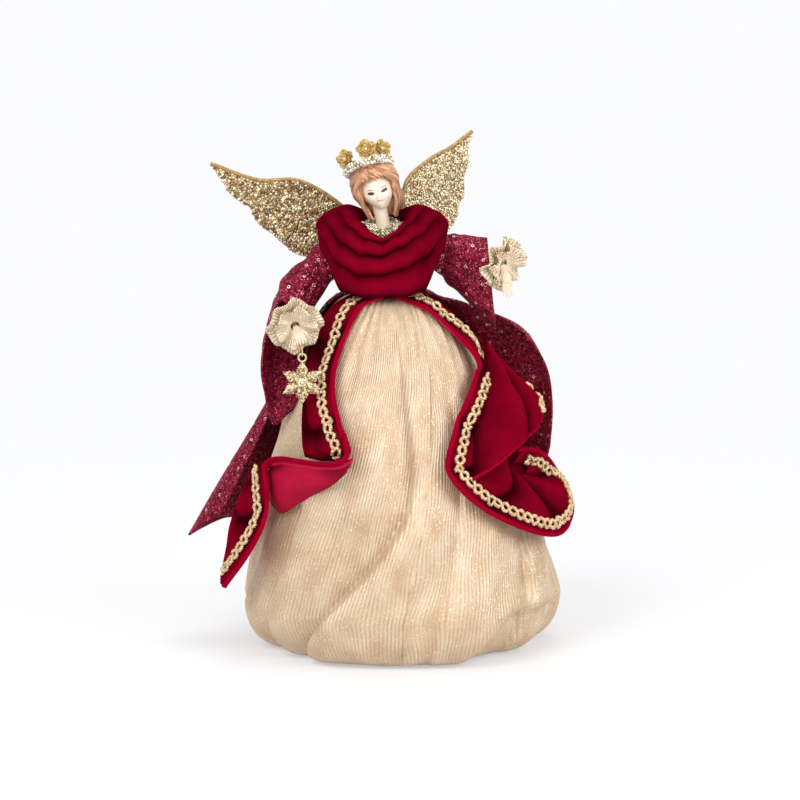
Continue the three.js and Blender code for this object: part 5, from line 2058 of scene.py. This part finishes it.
@dataclass
class Snowflake:
    """The glitter snowflake with its eye, and the thread loop on the hand."""

    centre: Triple = on_body(-58.8, -57, -79)
    radius: float = 12.5
    petals: int = 6
    petal_half: float = 3.3
    petal_foot: float = 1.6
    petal_widest: float = 0.48
    ridge: float = 1.1
    eye_radius: float = 2.2
    eye_tube: float = 0.55
    eye_sunk: float = 0.3
    eye_points: int = 28
    flake_pitch: float = 0.95
    flake_tilt: float = 0.3
    flake_sizes: Pair = (0.5, 0.75)
    beads: tuple[tuple[int, float, float, float], ...] = ((1, 0.0, 1.7, 1.3), (8, 1.9, 1.2, 0.95))
    thread_radius: float = 3.0
    thread_tube: float = 0.4
    thread_points: int = 72
    strand_turns: int = 8
    strand_lay: float = 0.17
    strand_radius: float = 0.24
    gap: float = 0.4

    def _petal(self, turn: float) -> Points:
        """The front face of a kite petal, with a ridge along its middle.

        Args:
            turn: its turn from straight up, in radians.

        Returns:
            The points, out by across.
        """
        along = np.linspace(0, 1, 25)
        reach = self.petal_foot + (self.radius - self.petal_foot) * along
        widest = self.petal_widest
        taper = np.where(along < widest, 0.35 + 0.65 * along / widest, (1 - along) / (1 - widest) + 0.02)
        half = self.petal_half * taper
        side = np.linspace(-1, 1, 9)
        across = half[:, None] * side[None]
        crown = np.sin(np.pi * np.clip(along, 0.08, 0.98))[:, None] ** 0.6
        height = 0.35 + self.ridge * (1 - np.abs(side))[None] * crown
        x = reach[:, None] * math.sin(turn) + across * math.cos(turn)
        z = reach[:, None] * math.cos(turn) - across * math.sin(turn)
        return np.stack([x, -height, z], axis=-1)

    def build(self) -> None:
        """Makes the snowflake and its thread."""
        middle = np.array(self.centre)
        draft = Draft()
        chance = np.random.default_rng(Seed.SNOWFLAKE)
        for k in range(self.petals):
            petal = self._petal(2 * math.pi * k / self.petals)
            for face, turned in ((petal, False), (petal * np.array([1, -1, 1]), True)):
                draft.grid(middle + face, turned=turned)
                grid = face[::-1] if turned else face
                places, normals, shades = scatter(grid, False, self.flake_pitch, Seed.PETAL_FLAKES + k, 0.0)
                lean = np.sign(normals[:, 1:2]) * np.sign(face.mean(axis=(0, 1))[1])
                axes = sideways(normals * lean, chance, self.flake_tilt, self.flake_sizes)
                draft.copies(flake_shape(), middle + places, axes, 1, shades)
        for count, reach, depth, size in self.beads:
            turn = full_turn(count)
            for sign in (-1, 1):
                places = np.stack([reach * np.sin(turn), 0 * turn + sign * depth, reach * np.cos(turn)], 1)
                draft.beads(middle + places, size, 1, chance.uniform(0.4, 1, count))
        turn = full_turn(self.eye_points)
        eye_z = self.radius + self.eye_radius - self.eye_sunk
        eye = np.stack([self.eye_radius * np.sin(turn), 0 * turn, eye_z + self.eye_radius * np.cos(turn)], 1)
        draft.tube(middle + eye, self.eye_tube, 8, True, 1, 0.6)
        finishes = [GLITTER_GROUND, GLITTER]
        Workshop.make("snowflake_glitter", draft, finishes, Body.SNOWFLAKE, "gold_glitter", ["snowflake"])
        eye_top = self.radius + 2 * self.eye_radius - self.eye_sunk - self.eye_tube
        thread_z = eye_top - self.thread_tube - self.gap + self.thread_radius
        loop = Draft()
        fine = full_turn(self.thread_points)
        for strand in (0, 1):
            lay = self.strand_turns * fine + strand * np.pi
            reach = self.thread_radius + self.strand_lay * np.cos(lay)
            x, y = self.strand_lay * np.sin(lay), reach * np.sin(fine)
            line = np.stack([x, y, thread_z + reach * np.cos(fine)], 1)
            loop.tube(middle + line, self.strand_radius, 6, True, shade=0.4 + 0.3 * strand)
        name = "snowflake_thread"
        Workshop.make(f"{name}_loop", loop, [THREAD], Body.RIGHT_ARM, "gold_braid", [name])


@dataclass
class Wing:
    """A glitter wing on its spar: spar and trailing edge as distance out and height above the torso's top."""

    side: Side
    body: Body
    root: Pair
    sweep: float
    spar: list[Pair]
    trailing: list[Pair]
    thickness: float = 1.2
    spar_radius: float = 1.3
    lap: float = 0.3
    spar_covered: Pair = (0.1, 0.98)
    flake_pitch: float = 1.5
    flake_tilt: float = 0.32
    flake_sizes: Pair = (0.7, 1.15)
    flake_lift: Pair = (0.1, 0.5)
    rim_pitch: float = 1.0
    rim_tilt: float = 0.2
    rim_sizes: Pair = (0.6, 1.0)
    rows: int = 110
    columns: int = 24
    wrap_step: float = 0.55
    wrap_pitch: float = 1.3
    wrap_depth: float = 0.06
    # Painted light: a power on the flakes' shades; above one it darkens the wing as painted shade, below one it
    # lightens it as painted highlight.
    painted_light_power: float = 0.8

    def _place(self, flat: Points) -> Points:
        """Places on the wing's plane, from distance out and height.

        Args:
            flat: distances out and heights above the torso's top.

        Returns:
            The places.
        """
        turn = math.radians(self.sweep)
        out = flat[..., 0]
        x = self.root[0] + self.side.value * out * math.cos(turn)
        return np.stack([x, self.root[1] + out * math.sin(turn), TORSO_TOP + flat[..., 1]], axis=-1)

    def _plane(self) -> Points:
        """The wing's middle surface as a grid from its leading to its trailing edge.

        Returns:
            The points, from the root out by across.
        """
        along = np.linspace(*self.spar_covered, self.rows)
        middle = even_curve_at(self.spar, along)
        tangent = unit(even_curve_at(self.spar, along + 0.004) - middle)
        leading = middle + np.stack([tangent[:, 1], -tangent[:, 0]], 1) * (self.spar_radius - self.lap)
        trailing = even_curve_at(self.trailing, np.linspace(1, 0, self.rows))
        share = np.linspace(0, 1, self.columns)[None, :, None]
        return self._place(leading[:, None] * (1 - share) + trailing[:, None] * share)

    def build(self) -> None:
        """Makes the wing's ground, its glitter flakes and its spar."""
        grid = self._plane()
        draft = Draft()
        draft.cloth(grid, self.thickness, False)
        chance = np.random.default_rng(Seed.WING + self.side.value)
        for turned in (False, True):
            face = grid[::-1] if turned else grid
            places, normals, shades = scatter(face, False, self.flake_pitch, Seed.WING_FLAKES + turned, 0.0)
            axes = sideways(normals, chance, self.flake_tilt, self.flake_sizes)
            lift = chance.uniform(*self.flake_lift, (len(places), 1))
            lifted = places + normals * (self.thickness / 2 + lift)
            # The flakes' random shades, bent by the wing's painted light.
            draft.copies(flake_shape(), lifted, axes, 1, shades**self.painted_light_power)
        rim = even_points(grid[:, -1], self.rim_pitch)
        axes = sideways(unit(chance.normal(0, 1, rim.shape)), chance, self.rim_tilt, self.rim_sizes)
        draft.copies(flake_shape(), rim, axes, 1, chance.uniform(0.2, 1, len(rim)))
        name = f"{self.side.word}_wing"
        Workshop.make(f"{name}_glitter", draft, [GLITTER_GROUND, GLITTER], self.body, "gold_glitter", [name])
        spar = Draft()
        knots = self._place(np.array(self.spar, float))
        line = even_points(curve_at(knots, np.linspace(0, 1, 300)), self.wrap_step)
        turns = np.arange(len(line)) * self.wrap_step / self.wrap_pitch
        radius = self.spar_radius * (1 - self.wrap_depth + self.wrap_depth * np.cos(2 * np.pi * turns))
        spar.tube(line, radius, 12)
        Workshop.make(f"{name}_wire", spar, [GOLD_WIRE], self.body, "gold_wire", [f"{name}_spar"])


def wings() -> tuple[Wing, Wing]:
    """The right wing, spread to the side, and the left wing, swept back.

    Returns:
        The two wings.
    """
    right = Wing(
        Side.RIGHT, Body.RIGHT_WING, (-20.0, 17.1), 8.0,
        [(0, -10), (6, 0), (17, 12), (42, 26), (66, 26), (94, 35)],
        [(84, 20), (78, 14), (71, 10), (66, 1), (58, -5), (51, -11), (43, -17), (34, -18), (20, -14),
         (8, -14)],
        # Painted shade: this wing's flakes are darkened.
        painted_light_power=1.8,
    )
    left = Wing(
        Side.LEFT, Body.LEFT_WING, (-4.0, 17.1), 44.0,
        [(0, -10), (3, 10), (7, 26), (26, 37), (42, 42), (60, 50)],
        [(56, 39), (56, 30), (53, 24), (53, 14), (49, 8), (47, 1), (41, -6), (32, -10), (20, -12), (8, -14)],
        # Painted highlight: this wing's flakes are lightened.
        painted_light_power=0.3,
    )
    return right, left


@dataclass(frozen=True)
class FaceFinish(Finish):
    """Painted skin, on which the points' shade gives the paint: lips below a half, brows and eyes above."""

    lips: Colour = (214, 122, 112)
    brow: Colour = (150, 104, 78)
    eye: Colour = (38, 24, 22)

    def _colour(self, tree: Tree) -> bpy.types.NodeSocket:
        """Skin mottled a little, with the paint over it.

        Args:
            tree: the tree to draw in.

        Returns:
            The colour's socket.
        """
        made = super()._colour(tree)
        shade = tree.shade()
        for start, whole, colour in ((0.5, 0.0, self.lips), (0.5, 0.7, self.brow), (0.72, 0.95, self.eye)):
            mask = tree.node("ShaderNodeMapRange", None, n0=shade, n1=start, n2=whole, n3=0.0, n4=1.0)
            made = tree.mix(mask.outputs[0], made, paint(*colour))
        return made


FACE = FaceFinish(
    "painted_face", (244, 222, 198), (253, 238, 220), 0.4, mottle=(200.0, 1.0), pile=(900.0, 0.02), coat=0.1,
)


@dataclass(frozen=True)
class Bump:
    """A soft bump on the face: its height, its middle and its half widths, and whether both sides have it."""

    height: float
    x: float
    z: float
    across: float
    up: float
    paired: bool = False

    def over(self, x: Points, z: Points) -> Points:
        """The bump's height over places on the face.

        Args:
            x: how far across the face they are.
            z: how far up the face they are.

        Returns:
            A height for each place.
        """
        rise = ((z - self.z) / self.up) ** 2
        sides = (1, -1) if self.paired else (1,)
        return self.height * sum(np.exp(-(((x - side * self.x) / self.across) ** 2) - rise) for side in sides)


@dataclass
class Head:
    """The doll's head: its painted face, wig, crown and neck."""

    centre: Triple = on_body(-15.7, -2, 24)
    tilt: float = -16.0
    size: Triple = (8.8, 9.6, 11.6)
    neck_foot: Triple = on_body(-12, 0, 1.2)
    neck_radius: float = 4.6
    around: int = 190
    down: int = 130
    jaw_taper: Triple = (0.26, 1.0, 11.6)
    face_front: Pair = (1.0, 6.0)
    bridge_height: float = 1.5
    bridge_foot: Pair = (-5.2, -3.9)
    bridge_top: Pair = (-3.6, 1.6)
    nose: Bump = Bump(0.6, 0.0, -4.3, 1.3, 0.9)
    eye_sockets: Bump = Bump(-0.75, 4.0, 0.5, 2.2, 1.4, True)
    eyelids: Bump = Bump(0.4, 4.0, 0.2, 1.5, 0.8, True)
    brow_ridges: Bump = Bump(0.35, 4.0, 2.6, 2.4, 0.9, True)
    cheeks: Bump = Bump(0.6, 4.8, -3.8, 2.4, 2.4, True)
    upper_lip: Bump = Bump(0.65, 0.0, -7.0, 1.9, 0.5)
    lower_lip: Bump = Bump(0.65, 0.0, -8.0, 1.6, 0.55)
    mouth_line: Bump = Bump(-0.3, 0.0, -7.48, 2.2, 0.25)
    chin: Bump = Bump(0.9, 0.0, -10.2, 2.4, 1.6)
    blush: Bump = Bump(0.1, 4.9, -3.6, 2.0, 1.8, True)
    upper_paint: Bump = Bump(1.0, 0.0, -7.0, 2.5, 0.66)
    lower_paint: Bump = Bump(1.0, 0.0, -8.05, 2.1, 0.72)
    lip_strength: float = 0.46
    lip_edge: Pair = (0.3, 0.75)
    eye: Pair = (4.0, 0.2)
    eye_half: Pair = (2.0, 0.9)
    eye_slant: float = 0.14
    eye_edge: Pair = (0.25, 0.7)
    brow_rise: float = 2.35
    brow_arch: float = 0.05
    brow_half: Pair = (2.1, 0.3)
    brow_strength: float = 0.16
    brow_edge: Pair = (0.3, 0.8)
    hair_size: Triple = (12.3, 11.0, 13.4)
    hair_middle: Triple = (-0.8, 1.0, 4.6)
    fall_size: Triple = (12.4, 6.6, 9.8)
    fall_middle: Triple = (1.6, 6.4, -7.0)
    locks_each_side: int = 22
    fringe_locks: int = 26
    cap_share: float = 0.94
    lock_rows: int = 44
    lock_sway: float = 7.5
    lock_drops: Pair = (9.0, 3.5)
    lock_radii: Pair = (0.8, 1.35)
    crown_radius: float = 13.0
    crown_tube: float = 2.0
    crown_middle: Triple = (-1.6, 2.0, 14.2)
    crown_lean: float = -24.0
    crown_wire: float = 1.1
    crown_girth: Pair = (1.5, 1.7)
    crown_bead_sizes: Pair = (0.7, 1.2)
    crown_rows: int = 6
    crown_beads: int = 44
    floret_gap: float = 0.4
    florets: tuple[Pair, ...] = ((-58, 5.0), (9, 5.4), (54, 4.8))
    petal_layers: tuple[Triple, ...] = ((1.0, 0.0, 0.9), (0.68, 0.63, 1.5), (0.4, 0.2, 1.9))
    petal_cloth: float = 0.28

    def placed(self, points: Points) -> Points:
        """Points in the head's own frame, tilted and moved to their place."""
        return turned_about(points, 1, self.tilt) + np.array(self.centre)

    def build(self) -> None:
        """Makes the head, the wig and the crown."""
        self._face()
        self._wig()
        self._crown()
        self._florets()

    def _face(self) -> None:
        """Makes the head with its sculpted and painted face, and its neck."""
        turn = np.linspace(-np.pi, np.pi, self.around, endpoint=False)[:, None]
        rise = np.linspace(0.004, np.pi - 0.004, self.down)[None]
        x, y, z = np.moveaxis(ellipsoid((0, 0, 0), self.size, rise, turn), -1, 0)
        taper, jaw, chin = self.jaw_taper
        x = x * (1 - taper * smoothstep(-z, jaw, chin))
        front = smoothstep(-y, *self.face_front)
        bridge = smoothstep(z, *self.bridge_foot) * (1 - smoothstep(z, *self.bridge_top))
        push = self.bridge_height * np.exp(-(x**2)) * bridge
        upper = (self.nose, self.eye_sockets, self.eyelids, self.brow_ridges, self.cheeks)
        for bump in (*upper, self.upper_lip, self.lower_lip, self.mouth_line, self.chin):
            push = push + bump.over(x, z)
        y = y - front * push
        lips = np.maximum(self.upper_paint.over(x, z), self.lower_paint.over(x, z))
        painted = self.lip_strength * smoothstep(lips, *self.lip_edge)
        shade = 0.5 - front * np.maximum(self.blush.over(x, z), painted)
        eye_x, eye_z = self.eye
        for side in (-1, 1):
            off = side * x - eye_x
            slant = z - eye_z - self.eye_slant * off
            across, up = self.eye_half
            lash = np.exp(-np.abs(off / across) ** 2.6 - np.abs((slant - 0.1) / up) ** 2.6)
            shade = np.maximum(shade, front * (0.5 + 0.5 * smoothstep(lash, *self.eye_edge)))
            brow_z = z - eye_z - self.brow_rise + self.brow_arch * (off - 0.4) ** 2
            across, up = self.brow_half
            brow = np.exp(-((off / across) ** 4) - (brow_z / up) ** 2)
            darker = self.brow_strength * smoothstep(brow, *self.brow_edge)
            shade = np.maximum(shade, front * (0.5 + darker))
        draft = Draft()
        grid = self.placed(np.stack([x, y, z], axis=-1))
        oriented = facing_out(grid, np.array(self.centre), True)
        draft.grid(oriented, True, shade=shade if oriented is grid else shade[::-1])
        foot, top = np.array(self.neck_foot), np.array(self.centre) - np.array([0, 0, 4])
        shares = np.linspace(0, 1, 20)
        flare = self.neck_radius * (1 - 0.14 * np.sin(np.pi * shares))
        draft.tube(curve_at([foot, (foot + top) / 2, top], shares), flare, 32)
        Workshop.make("doll_head", draft, [FACE], Body.FIGURE, "doll_skin", ["head"])

    def _on_wig(self, polar: Points, azimuth: Points, grow: float = 1.0) -> Points:
        """Places on the wig's form, from the angle down from its top and the angle round from its front."""
        size = tuple(grow * half for half in self.hair_size)
        return ellipsoid(self.hair_middle, size, np.radians(polar), np.radians(azimuth))

    def _shell(self, draft: Draft, grid: Points, middle: Points, shade: float) -> None:
        """Adds a closed shell of hair that faces away from its middle, in the head's own frame."""
        draft.grid(facing_out(self.placed(grid), self.placed(middle), True), True, shade=shade)

    def _wig(self) -> None:
        """Makes the wig: a cap under wavy locks that part at the top and frame the face."""
        draft = Draft()
        azimuth = np.linspace(-180, 180, 72, endpoint=False)[:, None]
        polar = np.linspace(1, 150, 40)[None]
        face = (1 - smoothstep(np.abs(azimuth), 44, 64)) * smoothstep(polar, 64, 78)
        cap = self._on_wig(polar, azimuth, self.cap_share)
        middle = np.array(self.hair_middle)
        cap = middle + (cap - middle) * (1 - 0.45 * face)[..., None]
        # Painted shade: the cap and the fall are darker than most locks, as the shade under and between them.
        self._shell(draft, cap, middle, 0.35)
        rise = np.linspace(0.01, np.pi - 0.01, 24)[None]
        fall = ellipsoid(self.fall_middle, self.fall_size, rise, full_turn(48)[:, None])
        self._shell(draft, fall, np.array(self.fall_middle), 0.2)
        chance = np.random.default_rng(Seed.WIG)
        for side in (-1, 1):
            for k in range(2 * self.locks_each_side):
                back = 0.5 * k / self.locks_each_side
                places = [
                    (14, 8 + 62 * back, 0),
                    (44, 12 + 88 * back, 0),
                    (67 - 3 * back, 34 + 98 * back, 0),
                    (94, 58 + 106 * back, 0),
                    (124, 66 + 108 * back, 0),
                    (150, 70 + 104 * back, 0),
                ]
                drop = self.lock_drops[0 if back < 0.35 else 1]
                grow = chance.uniform(0.95, 1.06) + (0.05 if side > 0 else 0)
                self._lock(draft, places, side, chance, drop, grow)
        for azimuth in np.linspace(-40, 40, self.fringe_locks):
            places = [(22, 0.7 * azimuth, 0), (50, azimuth, 0), (72, 1.25 * azimuth, 0)]
            self._lock(draft, places, 1, chance, 0.0, 1.02)
        Workshop.make("wig", draft, [HAIR], Body.FIGURE, "hair_fibre", ["hair"])

    def _lock(
        self, draft: Draft, places: list, side: int, chance: np.random.Generator, drop: float, grow: float
    ) -> None:
        """Adds a wavy lock of hair.

        Args:
            draft: the wig in the making.
            places: angles down from the top and round from the front, from root to tip.
            side: 1, or -1 to mirror the angles round.
            chance: the source of its waves.
            drop: how far its tip hangs below the wig's form.
            grow: its distance from the wig's middle, as a share of the form's.
        """
        shares = np.linspace(0, 1, self.lock_rows)
        line = curve_at(places, shares)
        wave = chance.uniform(0, 2 * np.pi)
        pace = 2 * np.pi * chance.uniform(2.8, 4.2) * shares + wave
        sway = self.lock_sway * np.sin(pace) * smoothstep(shares, 0.1, 0.4)
        middle = np.array(self.hair_middle)
        path = self._on_wig(line[:, 0] + 0.5 * sway, side * (line[:, 1] + sway))
        path = middle + (path - middle) * (grow + 0.05 * np.cos(pace))[:, None]
        path[:, 2] = path[:, 2] - drop * smoothstep(shares, 0.72, 1.0)
        taper = (0.5 + 0.5 * smoothstep(shares, 0, 0.25)) * (1 - 0.6 * smoothstep(shares, 0.75, 1))
        radius = chance.uniform(*self.lock_radii) * taper
        draft.tube(self.placed(path), radius, 7, shade=chance.uniform(0.1, 1.0), flat=0.75)

    def _crown_frame(self, points: Points) -> Points:
        """Points about the crown's middle, leaned back and moved to their place on the head."""
        return self.placed(turned_about(points, 0, self.crown_lean) + np.array(self.crown_middle))

    def _crown(self) -> None:
        """Makes the crown's band: rows of clear and gilt beads wound on a wire."""
        chance = np.random.default_rng(Seed.CROWN)
        draft = Draft()
        core = round_axis(full_turn(120), self.crown_radius, 0.0)
        draft.tube(self._crown_frame(core), self.crown_wire, 10, True, 1, 0.4)
        count = self.crown_beads
        for row in range(self.crown_rows):
            girth = 2 * np.pi * row / self.crown_rows
            turn = full_turn(count) + 0.07 * (row % 2) + chance.uniform(-0.02, 0.02, count)
            out, up = self.crown_girth[0] * math.cos(girth), self.crown_girth[1] * math.sin(girth)
            reach = self.crown_radius + out + chance.uniform(-0.2, 0.3, count)
            rise = up + chance.uniform(-0.3, 0.4, count)
            places = self._crown_frame(round_axis(turn, reach, rise))
            size = chance.uniform(*self.crown_bead_sizes, (count, 1))
            gilt = (np.arange(count) + row) % 3 == 2
            for slot, chosen in enumerate((~gilt, gilt)):
                draft.beads(places[chosen], size[chosen], slot, chance.uniform(0.1, 1, int(chosen.sum())))
        Workshop.make("crown_beads", draft, [CRYSTAL, GLITTER], Body.FIGURE, "gold_glitter", ["crown_band"])

    def _florets(self) -> None:
        """Makes the ruffled gilt flowers on the crown."""
        for number, (angle, size) in enumerate(self.florets, 1):
            draft = Draft()
            turn = full_turn(90)[:, None]
            share = np.linspace(0.03, 1, 12)[None]
            for layer, (scale, start, cup) in enumerate(self.petal_layers):
                lobes = 0.78 + 0.22 * np.abs(np.cos(2.5 * turn + start))
                out = 1.15 * size * scale * share * lobes
                ruffle = 0.22 * size * scale * share**2 * np.sin(10 * turn + layer)
                depth = -(0.3 + 0.5 * layer + cup * share**2 + ruffle * 0.6)
                flower = np.stack([out * np.sin(turn), depth, out * np.cos(turn)], axis=-1)
                draft.cloth(self._floret_frame(flower, angle, size), self.petal_cloth, True)
            draft.beads(self._floret_frame(np.array([[0, -1.6, 0.0]]), angle, size), 0.8, 1, 0.8)
            name, node = f"crown_flower_{number}", f"crown_floret_{number}"
            Workshop.make(name, draft, [FLOWER, CRYSTAL], Body.FIGURE, "gold_glitter", [node])

    def _floret_frame(self, points: Points, angle: float, size: float) -> Points:
        """Points about a flower's middle, turned forward and moved to its place on the crown's band.

        Args:
            points: the points.
            angle: the flower's angle round the band, in degrees.
            size: the flower's radius.

        Returns:
            The points in their place.
        """
        lift = self.crown_tube + self.floret_gap + size * math.cos(math.pi / 5)
        own = turned_about(points, 2, -0.6 * angle) + np.array([0, -self.crown_radius, lift])
        return self._crown_frame(turned_about(own, 2, angle))


@dataclass
class NeckTrim:
    """The collar of pale gold beads round the neck: a ring, and rows on both sides of it."""

    middle: Triple = on_body(-13, -0.8, 3)
    radius: float = 9.4
    tube: float = 1.8
    lean: float = 16.0
    ring_rows: int = 7
    more_rows: tuple[Pair, ...] = ((-2.6, 0.4), (-3.9, 0.9), (2.4, -0.4), (3.2, -1.4))
    beads_per_radius: float = 3.4
    sunk: float = 0.5

    def build(self) -> None:
        """Makes the beads."""
        chance = np.random.default_rng(Seed.NECK)
        draft = Draft()
        girth = self.tube - self.sunk
        rows = [(girth * math.cos(turn), girth * math.sin(turn)) for turn in full_turn(self.ring_rows)]
        for row, (out, rise) in enumerate([*rows, *self.more_rows]):
            reach = self.radius + out
            count = int(self.beads_per_radius * reach)
            turn = full_turn(count) + 0.1 * (row % 2) + chance.uniform(-0.03, 0.03, count)
            places = turned_about(round_axis(turn, reach, rise), 0, self.lean)
            size = chance.uniform(0.65, 0.95, (count, 1))
            draft.beads(places + np.array(self.middle), size, 0, chance.uniform(0, 1, count))
        Workshop.make("neck_beads", draft, [GREEN_GOLD], Body.FIGURE, "gold_glitter", ["neck_trim"])


@dataclass
class Studio:
    """The floor, the soft light and the camera."""

    target: Triple = (-2.9, 0.0, 142.8)
    distance: float = 4000.0
    elevation: float = 10.0
    lens: float = 310.0
    sensor: float = 36.0
    floor_half: float = 6.0
    world_strength: float = 0.46
    backdrop: tuple[float, ...] = (0.965, 0.97, 0.985, 1)
    lamp_target: Triple = (0, 0, 0.15)
    lamps: tuple[tuple[str, Triple, float, float], ...] = (
        ("key", (-0.8, -1.3, 1.5), 1.2, 23.0),
        ("fill", (1.2, -1.0, 0.9), 1.2, 14.0),
        ("top", (0.1, 0.5, 1.7), 1.0, 10.0),
    )

    def build(self) -> None:
        """Makes the floor, the lamps, the world and the camera."""
        bpy.context.scene.view_settings.view_transform = "Standard"
        self._floor()
        self._world()
        for lamp in self.lamps:
            self._lamp(*lamp)
        self._camera()

    @staticmethod
    def _seen(tree: Tree) -> bpy.types.NodeSocket:
        """1 for the rays that show a thing to the camera, straight or in a reflection.

        Args:
            tree: the tree to draw in.

        Returns:
            The number's socket.
        """
        light = tree.node("ShaderNodeLightPath").outputs
        seen = tree.maths("MAXIMUM", light["Is Camera Ray"], light["Is Glossy Ray"])
        return tree.maths("MAXIMUM", seen, light["Is Transmission Ray"])

    def _floor(self) -> None:
        """Makes the pale floor, which turns into the white background away from the object."""
        mesh = bpy.data.meshes.new("floor")
        h = self.floor_half
        mesh.from_pydata([(-h, -h, 0), (h, -h, 0), (h, h, 0), (-h, h, 0)], [], [(0, 1, 2, 3)])
        floor = put("floor", mesh)
        made = bpy.data.materials.new("pale_floor")
        tree = fresh_tree(made)
        ground = tree.node("ShaderNodeBsdfDiffuse", None, Color=(0.93, 0.935, 0.95, 1))
        white = tree.node("ShaderNodeEmission", None, Color=self.backdrop, Strength=1.0)
        place = tree.node("ShaderNodeNewGeometry").outputs["Position"]
        away = tree.node("ShaderNodeVectorMath", {"operation": "LENGTH"}, n0=place).outputs["Value"]
        soft = {"interpolation_type": "SMOOTHSTEP"}
        fade = tree.node("ShaderNodeMapRange", soft, n0=away, n1=0.1, n2=0.75, n3=0.45, n4=1.0)
        share = tree.maths("MULTIPLY", fade.outputs[0], self._seen(tree))
        mixed = tree.node("ShaderNodeMixShader", None, n0=share, n1=ground.outputs[0], n2=white.outputs[0])
        tree.node("ShaderNodeOutputMaterial", None, Surface=mixed.outputs[0])
        mesh.materials.append(made)

    def _world(self) -> None:
        """Makes the even light from all round, which shows as white behind the object."""
        world = bpy.data.worlds.new("white_room")
        bpy.context.scene.world = world
        tree = fresh_tree(world)
        soft = tree.node("ShaderNodeBackground", None, Color=(1, 1, 1, 1), Strength=self.world_strength)
        white = tree.node("ShaderNodeBackground", None, Color=self.backdrop, Strength=1.0)
        sockets = {"n0": self._seen(tree), "n1": soft.outputs[0], "n2": white.outputs[0]}
        mixed = tree.node("ShaderNodeMixShader", None, **sockets)
        tree.node("ShaderNodeOutputWorld", None, Surface=mixed.outputs[0])

    def _lamp(self, name: str, place: Triple, size: float, power: float) -> None:
        """Hangs a soft square lamp that faces the doll, with its place in metres.

        Args:
            name: its name.
            place: its place.
            size: its width in metres.
            power: its power in watts.
        """
        data = bpy.data.lights.new(name, "AREA")
        data.size = size
        data.energy = power
        lamp = put(name, data)
        lamp.location = place
        aim = Vector(self.lamp_target) - Vector(place)
        lamp.rotation_euler = aim.to_track_quat("-Z", "Y").to_euler()

    def _camera(self) -> None:
        """Sets the camera at the photograph's angle."""
        data = bpy.data.cameras.new("camera")
        data.lens = self.lens
        data.sensor_width = self.sensor
        data.clip_end = 20
        camera = put("camera", data)
        rise = math.radians(self.elevation)
        away = Vector((0, -math.cos(rise), math.sin(rise))) * self.distance * MM
        camera.location = Vector((np.array(self.target) + SHIFT) * MM) + away
        camera.rotation_euler = (-away).to_track_quat("-Z", "Y").to_euler()
        bpy.context.scene.camera = camera


def main() -> None:
    """Builds the studio and every sub-assembly in order."""
    logging.basicConfig(level=logging.INFO, format="%(name)s %(message)s")
    form = SkirtForm()
    Studio().build()
    Stand().dress()
    Skirt(form).build()
    Bodice().build()
    Cowl().build()
    VelvetFronts(form).build()
    Robe(form).build()
    right_arm().build()
    left_arm().build()
    Snowflake().build()
    for wing in wings():
        wing.build()
    Head().build()
    NeckTrim().build()


if __name__ == "__main__":
    main()
